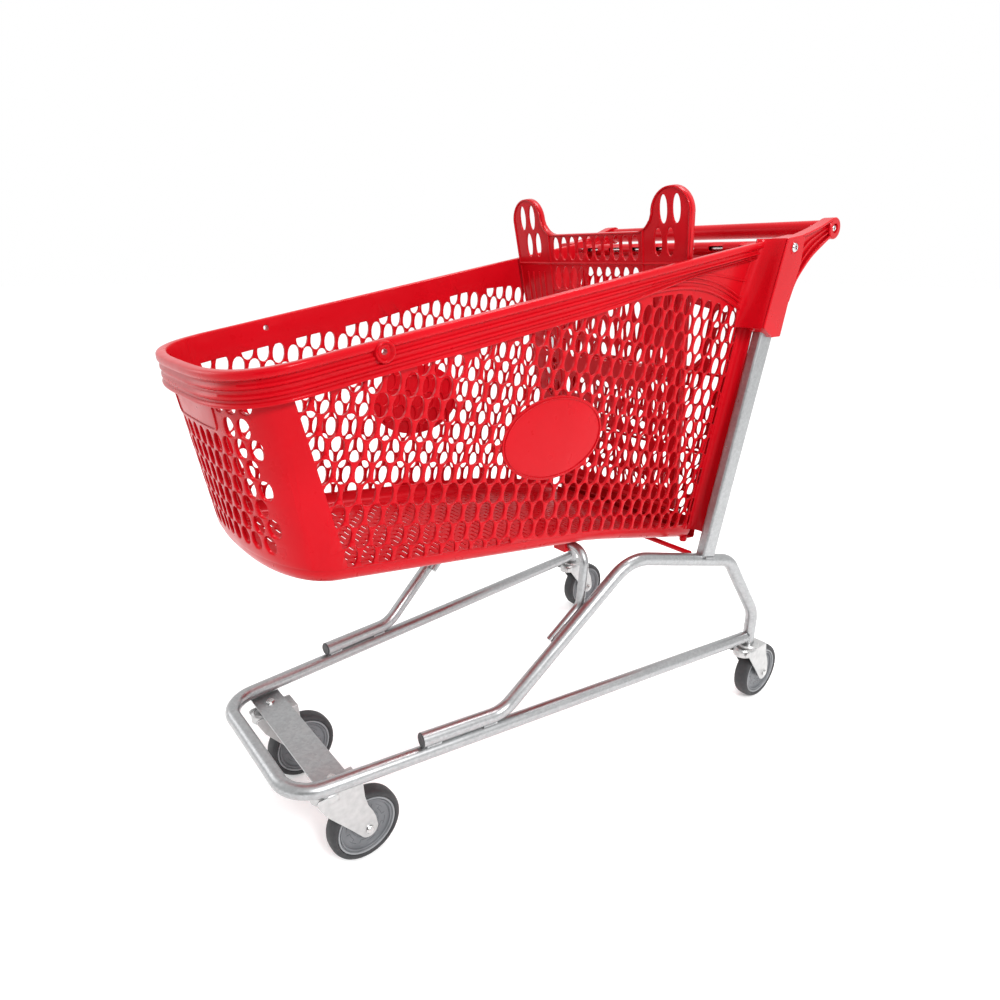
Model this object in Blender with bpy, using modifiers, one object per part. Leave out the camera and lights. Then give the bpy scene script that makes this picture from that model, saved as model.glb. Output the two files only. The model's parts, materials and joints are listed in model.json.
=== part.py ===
"""Rolling basket trolley: a moulded basket with a rear gate and folding child seat, carried on a
galvanised tube frame with four swivel castors.

Metres, +Z up. The nose points to -Y and +X is the trolley's left. The origin lies on the floor under
the middle of the object's box.
"""

import math

import bmesh
import bpy
from mathutils import Matrix, Vector

NAME = "rolling_basket_trolley"
FIT = 0.0003                # gap between touching solids

# Base frame: a U of round tube, its rails spreading and falling slightly towards the rear
TUBE_R = 0.0125
TUBE_WALL = 0.0015
TUBE_SIDES = 4              # bevel resolution, 12 sides
RAIL_X = 0.2164             # rail axis x at y = 0
RAIL_SPREAD = 0.1297        # dx / dy of a rail
RAIL_Z = 0.1766
RAIL_FALL = -0.0263
NOSE_BAR_Y = -0.529
BASE_BEND_R = 0.058
BEND_STEPS = 6

# Hoops standing on the rails, as (y, z) corners in the rail's upright plane
HOOP_START_Y = -0.321
HOOP_BEND_Y = -0.171
HOOP_PEAK = (0.0949, 0.4315)
HOOP_REAR = (0.3598, 0.3674)
HOOP_KNEE = (0.4550, 0.2240)
HOOP_BEND_R = (0.060, 0.085, 0.055, 0.060)
TOP_BAR_FALL = -0.2422

# Rods and clips under the basket's floor
ROD_R = 0.008
ROD_TOP_Z = 0.4545
ROD_Y = 0.017
ROD_FOOT_Y = -0.0588
ROD_BEND_Y = 0.005
REAR_ROD = (0.262, 0.4000)
REAR_ROD_R = 0.005
REAR_ROD_HALF = 0.2380
CLIP_X = 0.140

# Castors
WHEEL_R = 0.0625
WHEEL_W = 0.032
CORE_R = 0.049
WHEEL_STEPS = 32
CORE_STEPS = 24
SMALL_STEPS = 12
TRAIL = 0.048
FRONT_CASTOR = (0.125, -0.457)
REAR_CASTOR = (0.2752, 0.455)
PLATE_TOP = 0.1752
PLATE_THICK = 0.003
PLATE_HALF = 0.156
PLATE_DEPTH = 0.051
REAR_MOUNT_Z = 0.1505
RACE_H = 0.010
RACE_R = 0.023
FORK_HALF = 0.021
FORK_SHEET = 0.0025
BOLT_R = 0.005
AXLE_R = 0.004
RUNNING = 0.00005           # radial clearance of a turning fit
ROD_STEPS = 24

# Posts and shoulder brackets
POST_FOOT_Y = 0.287
POST_LEAN = 0.2167          # dy / dz
POST_SPREAD = 0.0214        # dx / dz
POST_DEPTH = 0.038
POST_WIDTH = 0.022
POST_TOP_Z = 0.935
BRACKET_IN = 0.2495
BRACKET_ARM = 0.2620
BRACKET_OUT = 0.2850
RECESS_R = 0.0095            # round recess round each screw head
RECESS = 0.0042

# Handle
HANDLE = (0.545, 0.9955)    # y, z of its axis
HANDLE_R = 0.015
HANDLE_TUBE_R = 0.011
CAP_R = 0.019

# Basket: rim line, wall draft and floor line
RIM_X = 0.2263
RIM_SPREAD = 0.0582
RIM_Z = 0.9069
RIM_RISE = 0.1695
RIM_REAR_Y = 0.387
FLOOR_REAR_Y = 0.302
SIDE_FRONT_Y = -0.430
NOSE_TOP = 0.1355           # length of the rounded nose at the rim
NOSE_FLOOR = 0.082          # and along the floor line
NOSE_POWER_TOP = 3.2        # squareness of the nose outline at the rim
NOSE_POWER_FLOOR = 2.24     # and along the floor line
NOSE_STEPS = 8
RIM_WIDTH = 0.014
RIM_DROP = 0.045
WALL = 0.003
DRAFT = 0.0567
FLOOR_KINK = (0.042, 0.4648)
FLOOR_FALL_FRONT = -0.1158
FLOOR_FALL_REAR = -0.2204
EDGE_R_SIDE = 0.0205
EDGE_R_NOSE = 0.024
MIDDLE_STEP = 0.010         # how far the nose's floor points reach along the middle line

# Gate and child seat
GATE_HINGE = (0.411, 0.960)
GATE_LEAN = math.radians(9.9)
GATE_LENGTH = 0.545
GATE_TOP_HALF = 0.226
GATE_LOW_HALF = 0.192
PANEL = 0.004
GATE_ROD_R = 0.005
GATE_ROD_HALF = 0.2750
SLOT_PITCH = 0.065
SLOT_SIZE = (0.032, 0.009)
LEG_HOLE = (0.030, 0.140, -0.225, -0.095)   # inner x, outer x, low z, high z
SEAT_HINGE = (0.282, 0.470)
SEAT_LEAN = math.radians(9.3)
SEAT_ROD_R = 0.003
SEAT_PLATE_AT = (0.010, 0.2635)             # its hinge behind and up the seat back
SEAT_PLATE_LENGTH = 0.108
SEAT_PLATE_HALF = 0.145
KNUCKLE_R = 0.006

GALVANISED = ("galvanised_steel", (0.60, 0.61, 0.62), 0.38, 1.0)
FORK_STEEL = ("zinc_pressing", (0.66, 0.66, 0.65), 0.42, 1.0)
RED_PLASTIC = ("red_plastic", (0.72, 0.008, 0.020), 0.30, 0.0)
TYRE_GREY = ("tyre_rubber", (0.045, 0.045, 0.050), 0.70, 0.0)
CORE_GREY = ("wheel_core_plastic", (0.25, 0.26, 0.28), 0.50, 0.0)
PLUG_GREY = ("plug_plastic", (0.10, 0.10, 0.10), 0.60, 0.0)
BRIGHT_STEEL = ("bright_fastener", (0.70, 0.70, 0.70), 0.25, 1.0)


# ---------------------------------------------------------------- scene and materials

def clear_scene():
    for obj in list(bpy.data.objects):
        bpy.data.objects.remove(obj, do_unlink=True)


def collection(name):
    found = bpy.data.collections.get(name)
    if found is None:
        found = bpy.data.collections.new(name)
        bpy.context.scene.collection.children.link(found)
    return found


def material(spec):
    name, colour, roughness, metallic = spec
    found = bpy.data.materials.get(name)
    if found is not None:
        return found
    made = bpy.data.materials.new(name)
    made.use_nodes = True
    shader = made.node_tree.nodes["Principled BSDF"]
    shader.inputs["Base Color"].default_value = (*colour, 1.0)
    shader.inputs["Roughness"].default_value = roughness
    shader.inputs["Metallic"].default_value = metallic
    return made


def add(name, data, spec, parent=None):
    obj = bpy.data.objects.new(name, data)
    collection(NAME).objects.link(obj)
    obj.data.materials.append(material(spec))
    obj.parent = parent
    return obj


def add_cutter(name, data, parent=None):
    obj = bpy.data.objects.new(name, data)
    collection("cutters").objects.link(obj)
    obj.hide_render = True
    obj.display_type = "WIRE"
    obj.parent = parent
    return obj


def empty(name, location, rotation=(0.0, 0.0, 0.0), parent=None):
    obj = bpy.data.objects.new(name, None)
    collection(NAME).objects.link(obj)
    obj.location = location
    obj.rotation_euler = rotation
    obj.parent = parent
    return obj


# ---------------------------------------------------------------- shapes

def arc(centre, radius, start, end, steps):
    """Points on an arc, angles in degrees."""
    points = []
    for i in range(steps + 1):
        angle = math.radians(start + (end - start) * i / steps)
        points.append((centre[0] + radius * math.cos(angle), centre[1] + radius * math.sin(angle)))
    return points


def rounded_path(corners, radii, steps=BEND_STEPS):
    """A path through the corners with each inner corner turned into an arc."""
    corners = [Vector(c) for c in corners]
    path = [corners[0]]
    for before, here, after, radius in zip(corners, corners[1:], corners[2:], radii):
        back = (before - here).normalized()
        ahead = (after - here).normalized()
        half = back.angle(ahead) / 2.0
        centre = here + (back + ahead).normalized() * (radius / math.sin(half))
        first = here + back * (radius / math.tan(half)) - centre
        last = here + ahead * (radius / math.tan(half)) - centre
        sweep = first.angle(last)
        for i in range(steps + 1):
            a = math.sin(sweep * (1 - i / steps)) / math.sin(sweep)
            b = math.sin(sweep * i / steps) / math.sin(sweep)
            path.append(centre + first * a + last * b)
    path.append(corners[-1])
    return path


def curve_data(name, points, radius, sides, caps):
    curve = bpy.data.curves.new(name, "CURVE")
    curve.dimensions = "3D"
    curve.bevel_depth = radius
    curve.bevel_resolution = sides
    curve.use_fill_caps = caps
    spline = curve.splines.new("POLY")
    spline.points.add(len(points) - 1)
    for slot, point in zip(spline.points, points):
        slot.co = (*point, 1.0)
    return curve


def tube(name, points, spec):
    """A hollow tube, open at both ends."""
    obj = add(name, curve_data(name, points, TUBE_R, TUBE_SIDES, False), spec)
    wall = obj.modifiers.new("Wall", "SOLIDIFY")
    wall.thickness = TUBE_WALL
    wall.offset = -1.0
    return obj


def rod(name, points, radius, spec, parent=None, sides=TUBE_SIDES):
    return add(name, curve_data(name, points, radius, sides, True), spec, parent)


def turned_mesh(name, profile, closed):
    """The half section of a turned piece, as (radius, height) run down its outer side."""
    count = len(profile)
    edges = [(i, i + 1) for i in range(count - 1)]
    if closed:
        edges.append((count - 1, 0))
    mesh = bpy.data.meshes.new(name)
    mesh.from_pydata([(r, 0.0, h) for r, h in profile], edges, [])
    return mesh


def turn(obj, steps):
    screw = obj.modifiers.new("Turn", "SCREW")
    screw.axis = "Z"
    screw.steps = steps
    screw.render_steps = steps
    screw.use_merge_vertices = True
    screw.merge_threshold = 0.00005
    screw.use_smooth_shade = True


def turned(name, profile, spec, steps, location, rotation=(0.0, 0.0, 0.0), parent=None, closed=False):
    obj = add(name, turned_mesh(name, profile, closed), spec, parent)
    turn(obj, steps)
    obj.location = location
    obj.rotation_euler = rotation
    return obj


def outline_curve(name, points, thickness):
    """A flat outline in its own XY plane, thick along its Z."""
    curve = bpy.data.curves.new(name, "CURVE")
    curve.dimensions = "2D"
    curve.fill_mode = "BOTH"
    curve.extrude = thickness / 2.0
    spline = curve.splines.new("POLY")
    spline.use_cyclic_u = True
    spline.points.add(len(points) - 1)
    for slot, point in zip(spline.points, points):
        slot.co = (point[0], point[1], 0.0, 1.0)
    return curve


def curve_to_mesh(obj):
    """Replace a curve object by a welded mesh object of the same name."""
    bpy.context.view_layer.update()
    shaped = obj.evaluated_get(bpy.context.evaluated_depsgraph_get())
    mesh = bpy.data.meshes.new_from_object(shaped)
    bm = bmesh.new()
    bm.from_mesh(mesh)
    bmesh.ops.remove_doubles(bm, verts=bm.verts, dist=0.00001)
    bm.to_mesh(mesh)
    bm.free()
    made = bpy.data.objects.new(obj.name + "_mesh", mesh)
    for home in obj.users_collection:
        home.objects.link(made)
    made.hide_render = obj.hide_render
    made.display_type = obj.display_type
    made.parent = obj.parent
    made.matrix_world = obj.matrix_world
    name = obj.name
    bpy.data.objects.remove(obj, do_unlink=True)
    made.name = name
    return made


def side_plate(name, points, x_low, x_high, spec):
    """A plate whose outline lies in the YZ plane."""
    obj = add(name, outline_curve(name, points, x_high - x_low), spec)
    obj.rotation_euler = (math.pi / 2, 0.0, math.pi / 2)
    obj.location = ((x_low + x_high) / 2, 0.0, 0.0)
    return curve_to_mesh(obj)


def side_cutter(name, points, x_low, x_high):
    obj = add_cutter(name, outline_curve(name, points, x_high - x_low))
    obj.rotation_euler = (math.pi / 2, 0.0, math.pi / 2)
    obj.location = ((x_low + x_high) / 2, 0.0, 0.0)
    return curve_to_mesh(obj)


def box_mesh(name, low, high):
    bpy.ops.mesh.primitive_cube_add(size=1.0)
    made = bpy.context.object
    mesh = made.data
    mesh.name = name
    size = Vector(high) - Vector(low)
    centre = (Vector(high) + Vector(low)) / 2
    mesh.transform(Matrix.Translation(centre) @ Matrix.Diagonal((*size, 1.0)))
    bpy.data.objects.remove(made, do_unlink=True)
    return mesh


def cylinder_mesh(name, radius, x_low, x_high, steps, centre=(0.0, 0.0)):
    """A cylinder along X about (y, z) = centre."""
    bpy.ops.mesh.primitive_cylinder_add(vertices=steps, radius=radius, depth=x_high - x_low)
    made = bpy.context.object
    mesh = made.data
    mesh.name = name
    place = Matrix.Translation(((x_low + x_high) / 2, centre[0], centre[1]))
    mesh.transform(place @ Matrix.Rotation(math.pi / 2, 4, "Y"))
    bpy.data.objects.remove(made, do_unlink=True)
    return mesh


def boolean(obj, tool, operation):
    step = obj.modifiers.new(operation.title(), "BOOLEAN")
    step.operation = operation
    step.object = tool
    return step


def cut(obj, mesh, parent=None):
    boolean(obj, add_cutter("cut_" + mesh.name, mesh, parent), "DIFFERENCE")


def join(obj, mesh, parent=None):
    boolean(obj, add_cutter("join_" + mesh.name, mesh, parent), "UNION")


def bevel(obj, width, segments=2, angle=40.0):
    edge = obj.modifiers.new("Edges", "BEVEL")
    edge.width = width
    edge.segments = segments
    edge.limit_method = "ANGLE"
    edge.angle_limit = math.radians(angle)


# ---------------------------------------------------------------- frame

def rail_point(y):
    return Vector((RAIL_X + RAIL_SPREAD * y, y, RAIL_Z + RAIL_FALL * y))


def mirrored(point, side):
    return Vector((point[0] * side, point[1], point[2]))


def base_frame():
    rear = rail_point(REAR_CASTOR[1] - TUBE_R - 3 * FIT)
    corner = rail_point(NOSE_BAR_Y)
    corners = [rear, corner, mirrored(corner, -1), mirrored(rear, -1)]
    tube("base_frame", rounded_path(corners, [BASE_BEND_R] * 2), GALVANISED)


def hoop_corners():
    lift = 2 * TUBE_R + FIT
    corners = []
    for y in (HOOP_START_Y, HOOP_BEND_Y):
        corners.append(rail_point(y) + Vector((0.0, 0.0, lift)))
    for y, z in (HOOP_PEAK, HOOP_REAR, HOOP_KNEE):
        corners.append(Vector((rail_point(y).x, y, z)))
    corners.append(Vector((*REAR_CASTOR, REAR_MOUNT_Z)))
    return corners


def hoop(word, side):
    corners = [mirrored(c, side) for c in hoop_corners()]
    tube("hoop_" + word, rounded_path(corners, HOOP_BEND_R), GALVANISED)


def hoop_plug(word, side):
    """The plastic plug that closes the hoop's open front end."""
    start, second = hoop_corners()[:2]
    bore = TUBE_R - TUBE_WALL - FIT
    profile = [(0.0, 0.0022), (TUBE_R - 0.001, 0.0022), (TUBE_R, 0.001), (TUBE_R, FIT),
               (bore, FIT), (bore, -0.010), (0.0, -0.010)]
    out = mirrored(start - second, side)
    turned("hoop_plug_" + word, profile, PLUG_GREY, SMALL_STEPS, mirrored(start, side),
           out.to_track_quat("Z", "Y").to_euler())


def front_plate():
    """The pressed plate under the rails that carries the front castors."""
    y = FRONT_CASTOR[1]
    low = (-PLATE_HALF, y - PLATE_DEPTH / 2, PLATE_TOP - PLATE_THICK)
    high = (PLATE_HALF, y + PLATE_DEPTH / 2, PLATE_TOP)
    obj = add("front_castor_plate", box_mesh("front_castor_plate", low, high), GALVANISED)
    for side in (-1, 1):
        hole = cylinder_mesh("plate_hole_%d" % side, BOLT_R + FIT, -0.01, 0.01, SMALL_STEPS)
        hole.transform(Matrix.Rotation(math.pi / 2, 4, "Y"))
        hole.transform(Matrix.Translation((side * FRONT_CASTOR[0], y, PLATE_TOP)))
        cut(obj, hole)


def floor_rods():
    """The bent rod under the basket's floor and the straight one behind it."""
    inset = TUBE_R + ROD_R + FIT
    corners = []
    for y in (ROD_FOOT_Y, ROD_BEND_Y):
        along = (y - HOOP_BEND_Y) / (HOOP_PEAK[0] - HOOP_BEND_Y)
        low = hoop_corners()[1]
        point = low.lerp(hoop_corners()[2], along)
        corners.append(Vector((point.x - inset, y, point.z)))
    corners.append(Vector((0.192, ROD_Y, ROD_TOP_Z)))
    path = corners + [mirrored(c, -1) for c in reversed(corners)]
    rod("floor_rod_front", rounded_path(path, (0.030, 0.028, 0.028, 0.030), 4), ROD_R, GALVANISED, sides=3)
    y, z = REAR_ROD
    ends = [(-REAR_ROD_HALF, y, z), (REAR_ROD_HALF, y, z)]
    rod("floor_rod_rear", ends, REAR_ROD_R, RED_PLASTIC)


def floor_clip(word, side):
    """The moulded clip that holds the basket's floor on the front rod."""
    y, z = ROD_Y, ROD_TOP_Z
    low = (side * CLIP_X - 0.014, y - 0.014, z - 0.0115)
    high = (side * CLIP_X + 0.014, y + 0.014, z + 0.0112)
    obj = add("floor_clip_" + word, box_mesh("floor_clip_" + word, low, high), RED_PLASTIC)
    bore = cylinder_mesh("clip_bore_" + word, ROD_R + FIT, side * CLIP_X - 0.02, side * CLIP_X + 0.02,
                         16, (y, z))
    cut(obj, bore)


def post_frame(side):
    """A post's foot on the hoop's top bar and its axes: local Z runs up the post."""
    z = HOOP_PEAK[1] + TOP_BAR_FALL * (POST_FOOT_Y - HOOP_PEAK[0])
    foot = Vector((rail_point(POST_FOOT_Y).x * side, POST_FOOT_Y, z))
    up = Vector((POST_SPREAD * side, POST_LEAN, 1.0)).normalized()
    across = Vector((0.0, 1.0, 0.0)).cross(up).normalized()
    depth = up.cross(across)
    turn_to = Matrix((across, depth, up)).transposed().to_4x4()
    return Matrix.Translation(foot) @ turn_to, (POST_TOP_Z - foot.z) / up.z


def post_mesh(name, grow, low, high):
    """A rectangular section with rounded corners, grown all round by the given gap."""
    half_x = POST_WIDTH / 2 + grow
    half_y = POST_DEPTH / 2 + grow
    radius = 0.008
    ring = []
    for i, (sx, sy) in enumerate(((1, 1), (-1, 1), (-1, -1), (1, -1))):
        centre = (sx * (half_x - radius), sy * (half_y - radius))
        ring += arc(centre, radius, i * 90, i * 90 + 90, 3)
    count = len(ring)
    verts = [(x, y, z) for z in (low, high) for x, y in ring]
    faces = [(i, (i + 1) % count, count + (i + 1) % count, count + i) for i in range(count)]
    mesh = bpy.data.meshes.new(name)
    mesh.from_pydata(verts, [], faces)
    return mesh


def post(word, side):
    place, length = post_frame(side)
    name = "post_" + word
    obj = add(name, post_mesh(name, 0.0, TUBE_R + 3 * FIT, length), GALVANISED)
    obj.matrix_world = place
    wall = obj.modifiers.new("Wall", "SOLIDIFY")
    wall.thickness = TUBE_WALL
    wall.offset = -1.0


def solid_cutter(obj_name, mesh, place):
    """A closed cutter from an open prism: its ends are filled."""
    bm = bmesh.new()
    bm.from_mesh(mesh)
    bmesh.ops.holes_fill(bm, edges=bm.edges, sides=0)
    bmesh.ops.recalc_face_normals(bm, faces=bm.faces)
    bm.to_mesh(mesh)
    bm.free()
    mesh.transform(place)
    mesh.name = obj_name
    return mesh


def shoulder_bracket(word, side):
    """The moulded bracket: a sleeve over the post's top with an arm back to the handle."""
    arm_low = [(0.345, 0.826), (0.3767, 0.8075), (0.403, 0.8075), (0.4175, 0.872), (0.4335, 0.9073),
               (0.4693, 0.9425), (0.5056, 0.965)]
    cap = arc(HANDLE, CAP_R, -125, 105, 12)
    arm_top = [(0.490, 0.9965), (0.4346, 0.981), (0.3875, 0.975)]
    inner = arm_low[:4] + [(0.436, 0.930), (0.440, 0.9825), (0.3875, 0.975)]
    name = "shoulder_bracket_" + word
    spans = [sorted((side * a, side * b)) for a, b in
             ((BRACKET_ARM, BRACKET_OUT), (BRACKET_IN, BRACKET_ARM + 0.0005))]
    obj = side_plate(name, arm_low + cap + arm_top, *spans[0], RED_PLASTIC)
    obj.data.materials.append(material(RED_PLASTIC))
    boolean(obj, side_cutter("join_sleeve_" + word, inner, *spans[1]), "UNION")
    place, length = post_frame(side)
    grown = post_mesh("pocket", FIT, -0.1, length + FIT)
    cut(obj, solid_cutter("pocket_" + word, grown, place))
    bores = (("rod", GATE_HINGE, GATE_ROD_R + FIT, BRACKET_IN - 0.001, GATE_ROD_HALF + FIT),
             ("rod_screw", GATE_HINGE, 0.0033, BRACKET_IN, BRACKET_OUT + 0.001),
             ("tube", HANDLE, HANDLE_TUBE_R + FIT, BRACKET_ARM - 0.001, 0.2683),
             ("tube_screw", HANDLE, 0.0033, BRACKET_ARM, BRACKET_OUT + 0.001),
             ("rod_recess", GATE_HINGE, RECESS_R, BRACKET_OUT - RECESS, BRACKET_OUT + 0.001),
             ("tube_recess", HANDLE, RECESS_R, BRACKET_OUT - RECESS, BRACKET_OUT + 0.001))
    for bore, centre, radius, near, far in bores:
        low, high = sorted((side * near, side * far))
        cut(obj, cylinder_mesh("bore_%s_%s" % (bore, word), radius, low, high, 16, centre))


def running_bore(radius, steps):
    """The bore whose flats clear a turning shaft of the given radius."""
    return (radius + RUNNING) / math.cos(math.pi / steps)


def screw_profile(head_r, head_h, shank_r, length):
    """A button-head screw pointing down its own Z, the head's seat at zero."""
    return [(0.0, head_h), (head_r * 0.55, head_h * 0.92), (head_r * 0.9, head_h * 0.45), (head_r, FIT),
            (shank_r, FIT), (shank_r, -length), (0.0, -length)]


def side_screw(name, side, centre, head_r, head_h, length):
    turned(name, screw_profile(head_r, head_h, 0.003, length), BRIGHT_STEEL, SMALL_STEPS,
           (side * (BRACKET_OUT - RECESS), *centre), (0.0, side * math.pi / 2, 0.0))


def handle():
    tube_half = 0.268
    obj = add("handle_tube", cylinder_mesh("handle_tube", HANDLE_TUBE_R, -tube_half, tube_half, 20, HANDLE),
              GALVANISED)
    bore = cylinder_mesh("handle_tube_bore", HANDLE_TUBE_R - TUBE_WALL, -0.3, 0.3, 20, HANDLE)
    cut(obj, bore)
    half = BRACKET_ARM - FIT
    ring = [(HANDLE_R, half), (HANDLE_R, -half), (HANDLE_TUBE_R + FIT, -half), (HANDLE_TUBE_R + FIT, half)]
    turned("handle_sleeve", ring, RED_PLASTIC, 24, (0.0, *HANDLE), (0.0, math.pi / 2, 0.0), closed=True)


# ---------------------------------------------------------------- basket

def rim_z(y):
    return RIM_Z + RIM_RISE * y


def floor_z(y):
    kink_y, kink_z = FLOOR_KINK
    fall = FLOOR_FALL_REAR if y > kink_y else FLOOR_FALL_FRONT
    return kink_z + fall * (y - kink_y)


def plan_point(way, inset, rear_y, nose_length, power):
    """A point of the basket's half outline: way 0 to 1 along the side, 1 to 2 round the nose."""
    if way <= 1.0:
        y = rear_y + (SIDE_FRONT_Y - rear_y) * way
        return RIM_X + RIM_SPREAD * y - inset, y
    angle = (way - 1.0) * math.pi / 2
    half = RIM_X + RIM_SPREAD * SIDE_FRONT_Y - inset
    x = half * max(math.cos(angle), 0.0) ** (2 / power)
    return x, SIDE_FRONT_Y - nose_length * math.sin(angle) ** (2 / power)


def basket_section(way):
    """Rim flange, wall, rounded lower edge and floor to the middle, from outside to inside."""
    points = []
    for inset, drop in ((0.0, RIM_DROP), (0.0, 0.002), (0.0015, 0.0), (RIM_WIDTH - 0.001, 0.0),
                        (RIM_WIDTH, 0.002)):
        x, y = plan_point(way, inset, RIM_REAR_Y, NOSE_TOP - inset, NOSE_POWER_TOP)
        points.append(Vector((x, y, rim_z(y) - drop)))
    top = points[-1]
    x, y = plan_point(way, 0.0, FLOOR_REAR_Y, NOSE_FLOOR, NOSE_POWER_FLOOR)
    sink = RIM_WIDTH + DRAFT * (rim_z(y) - floor_z(y))
    x, y = plan_point(way, sink, FLOOR_REAR_Y, NOSE_FLOOR, NOSE_POWER_FLOOR)
    low = Vector((x, y, floor_z(y) + WALL))
    nose = max(way - 1.0, 0.0)
    radius = EDGE_R_SIDE + (EDGE_R_NOSE - EDGE_R_SIDE) * nose
    y_mid = y if way <= 1.0 else SIDE_FRONT_Y - MIDDLE_STEP * nose
    middle = Vector((0.0, y_mid, floor_z(y_mid) + WALL))
    start = low + (top - low).normalized() * radius
    end = low + (middle - low).normalized() * min(radius, (middle - low).length * 0.85)
    for i in range(5):
        t = i / 4
        points.append(start * (1 - t) ** 2 + low * 2 * t * (1 - t) + end * t * t)
    points.append(middle)
    return points


def basket():
    ways = [0.0, 0.18, 0.3552, 0.55, 0.78] + [1.0 + i / NOSE_STEPS for i in range(NOSE_STEPS + 1)]
    sections = [basket_section(way) for way in ways]
    rows = len(sections[0])
    verts = [p for section in sections for p in section]
    faces = []
    for i in range(len(sections) - 1):
        for j in range(rows - 1):
            a = i * rows + j
            faces.append((a, a + 1, a + rows + 1, a + rows))
    mesh = bpy.data.meshes.new("basket")
    mesh.from_pydata(verts, [], faces)
    obj = add("basket", mesh, RED_PLASTIC)
    mirror = obj.modifiers.new("Halves", "MIRROR")
    mirror.use_clip = True
    mirror.merge_threshold = 0.0001
    shell = obj.modifiers.new("Wall", "SOLIDIFY")
    shell.thickness = WALL
    shell.offset = -1.0
    shell.use_even_offset = True


# ---------------------------------------------------------------- gate and child seat

def gate_half(z):
    return GATE_TOP_HALF + (GATE_TOP_HALF - GATE_LOW_HALF) * z / GATE_LENGTH


def gate():
    """The rear gate, hanging from its rod; local Z runs up the gate."""
    hinge = empty("gate_hinge", (0.0, *GATE_HINGE), (-GATE_LEAN, 0.0, 0.0))
    outline = [(-gate_half(-0.006), -0.006), (-GATE_LOW_HALF, -GATE_LENGTH),
               (GATE_LOW_HALF, -GATE_LENGTH), (gate_half(-0.006), -0.006)]
    obj = add("gate", outline_curve("gate", outline, PANEL), RED_PLASTIC, hinge)
    obj.rotation_euler = (math.pi / 2, 0.0, 0.0)
    obj = curve_to_mesh(obj)
    obj.data.materials.append(material(RED_PLASTIC))
    join(obj, cylinder_mesh("gate_knuckle", 0.012, -GATE_TOP_HALF, GATE_TOP_HALF, 16), hinge)
    join(obj, box_mesh("seat_ledge", (-0.150, -0.022, -0.2422), (0.150, -0.001, -0.2382)), hinge)
    seat_y, seat_z = in_gate(SEAT_HINGE)
    for side in (-1, 1):
        low, high = sorted((side * 0.1825, side * 0.1905))
        join(obj, box_mesh("gate_lug_%d" % side, (low, seat_y - 0.007, seat_z - 0.008),
                           (high, -0.001, seat_z + 0.008)), hinge)
        low, high = sorted((side * LEG_HOLE[0], side * LEG_HOLE[1]))
        cut(obj, box_mesh("leg_hole_%d" % side, (low, -0.03, LEG_HOLE[2]), (high, 0.03, LEG_HOLE[3])), hinge)
    for i in range(-3, 4):
        x, half_w, half_h = i * SLOT_PITCH, SLOT_SIZE[0] / 2, SLOT_SIZE[1] / 2
        cut(obj, box_mesh("gate_slot_%d" % i, (x - half_w, -0.03, -half_h), (x + half_w, 0.03, half_h)), hinge)
    cut(obj, cylinder_mesh("gate_bore", running_bore(GATE_ROD_R, ROD_STEPS), -0.24, 0.24, ROD_STEPS), hinge)
    cut(obj, cylinder_mesh("seat_rod_bore", SEAT_ROD_R + FIT, -0.2, 0.2, SMALL_STEPS, (seat_y, seat_z)), hinge)
    return hinge


def in_gate(point):
    """A world (y, z) in the gate's own frame."""
    y, z = point[0] - GATE_HINGE[0], point[1] - GATE_HINGE[1]
    c, s = math.cos(GATE_LEAN), math.sin(GATE_LEAN)
    return y * c - z * s, y * s + z * c


def straight_rod(name, radius, half, location, parent=None, spec=GALVANISED):
    profile = [(0.0, half), (radius, half), (radius, -half), (0.0, -half)]
    turned(name, profile, spec, SMALL_STEPS, location, (0.0, math.pi / 2, 0.0), parent)


def seat_outline():
    """Half outline of the seat back, up its outer side and over the ear to the middle."""
    points = [(0.176, 0.0), (0.214, 0.440), (0.222, 0.545)]
    points += arc((0.181, 0.550), 0.0415, 0, 180, 10)
    points += [(0.136, 0.540)]
    points += arc((0.105, 0.556), 0.034, -30, -90, 3)
    return points


def seat_back():
    hinge = empty("seat_hinge", (0.0, *SEAT_HINGE), (SEAT_LEAN, 0.0, 0.0))
    half = seat_outline()
    outline = half + [(-x, z) for x, z in reversed(half)]
    obj = add("seat_back", outline_curve("seat_back", outline, PANEL), RED_PLASTIC, hinge)
    obj.rotation_euler = (math.pi / 2, 0.0, 0.0)
    obj = curve_to_mesh(obj)
    obj.data.materials.append(material(RED_PLASTIC))
    join(obj, cylinder_mesh("seat_knuckle", KNUCKLE_R, -0.165, 0.165, SMALL_STEPS), hinge)
    rod_y, rod_z = SEAT_PLATE_AT
    for side in (-1, 1):
        low, high = sorted((side * 0.1485, side * 0.1565))
        join(obj, box_mesh("seat_lug_%d" % side, (low, 0.001, rod_z - 0.007),
                           (high, rod_y + 0.006, rod_z + 0.007)), hinge)
    cut(obj, cylinder_mesh("seat_bore", running_bore(SEAT_ROD_R, ROD_STEPS), -0.18, 0.18, ROD_STEPS), hinge)
    cut(obj, cylinder_mesh("plate_rod_bore", SEAT_ROD_R + FIT, -0.17, 0.17, SMALL_STEPS, (rod_y, rod_z)), hinge)
    straight_rod("seat_plate_rod", SEAT_ROD_R, 0.157, (0.0, rod_y, rod_z), hinge)


def seat_plate_hinge():
    """World (y, z) of the seat plate's hinge."""
    y, z = SEAT_PLATE_AT
    c, s = math.cos(SEAT_LEAN), math.sin(SEAT_LEAN)
    return SEAT_HINGE[0] + y * c - z * s, SEAT_HINGE[1] + y * s + z * c


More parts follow.
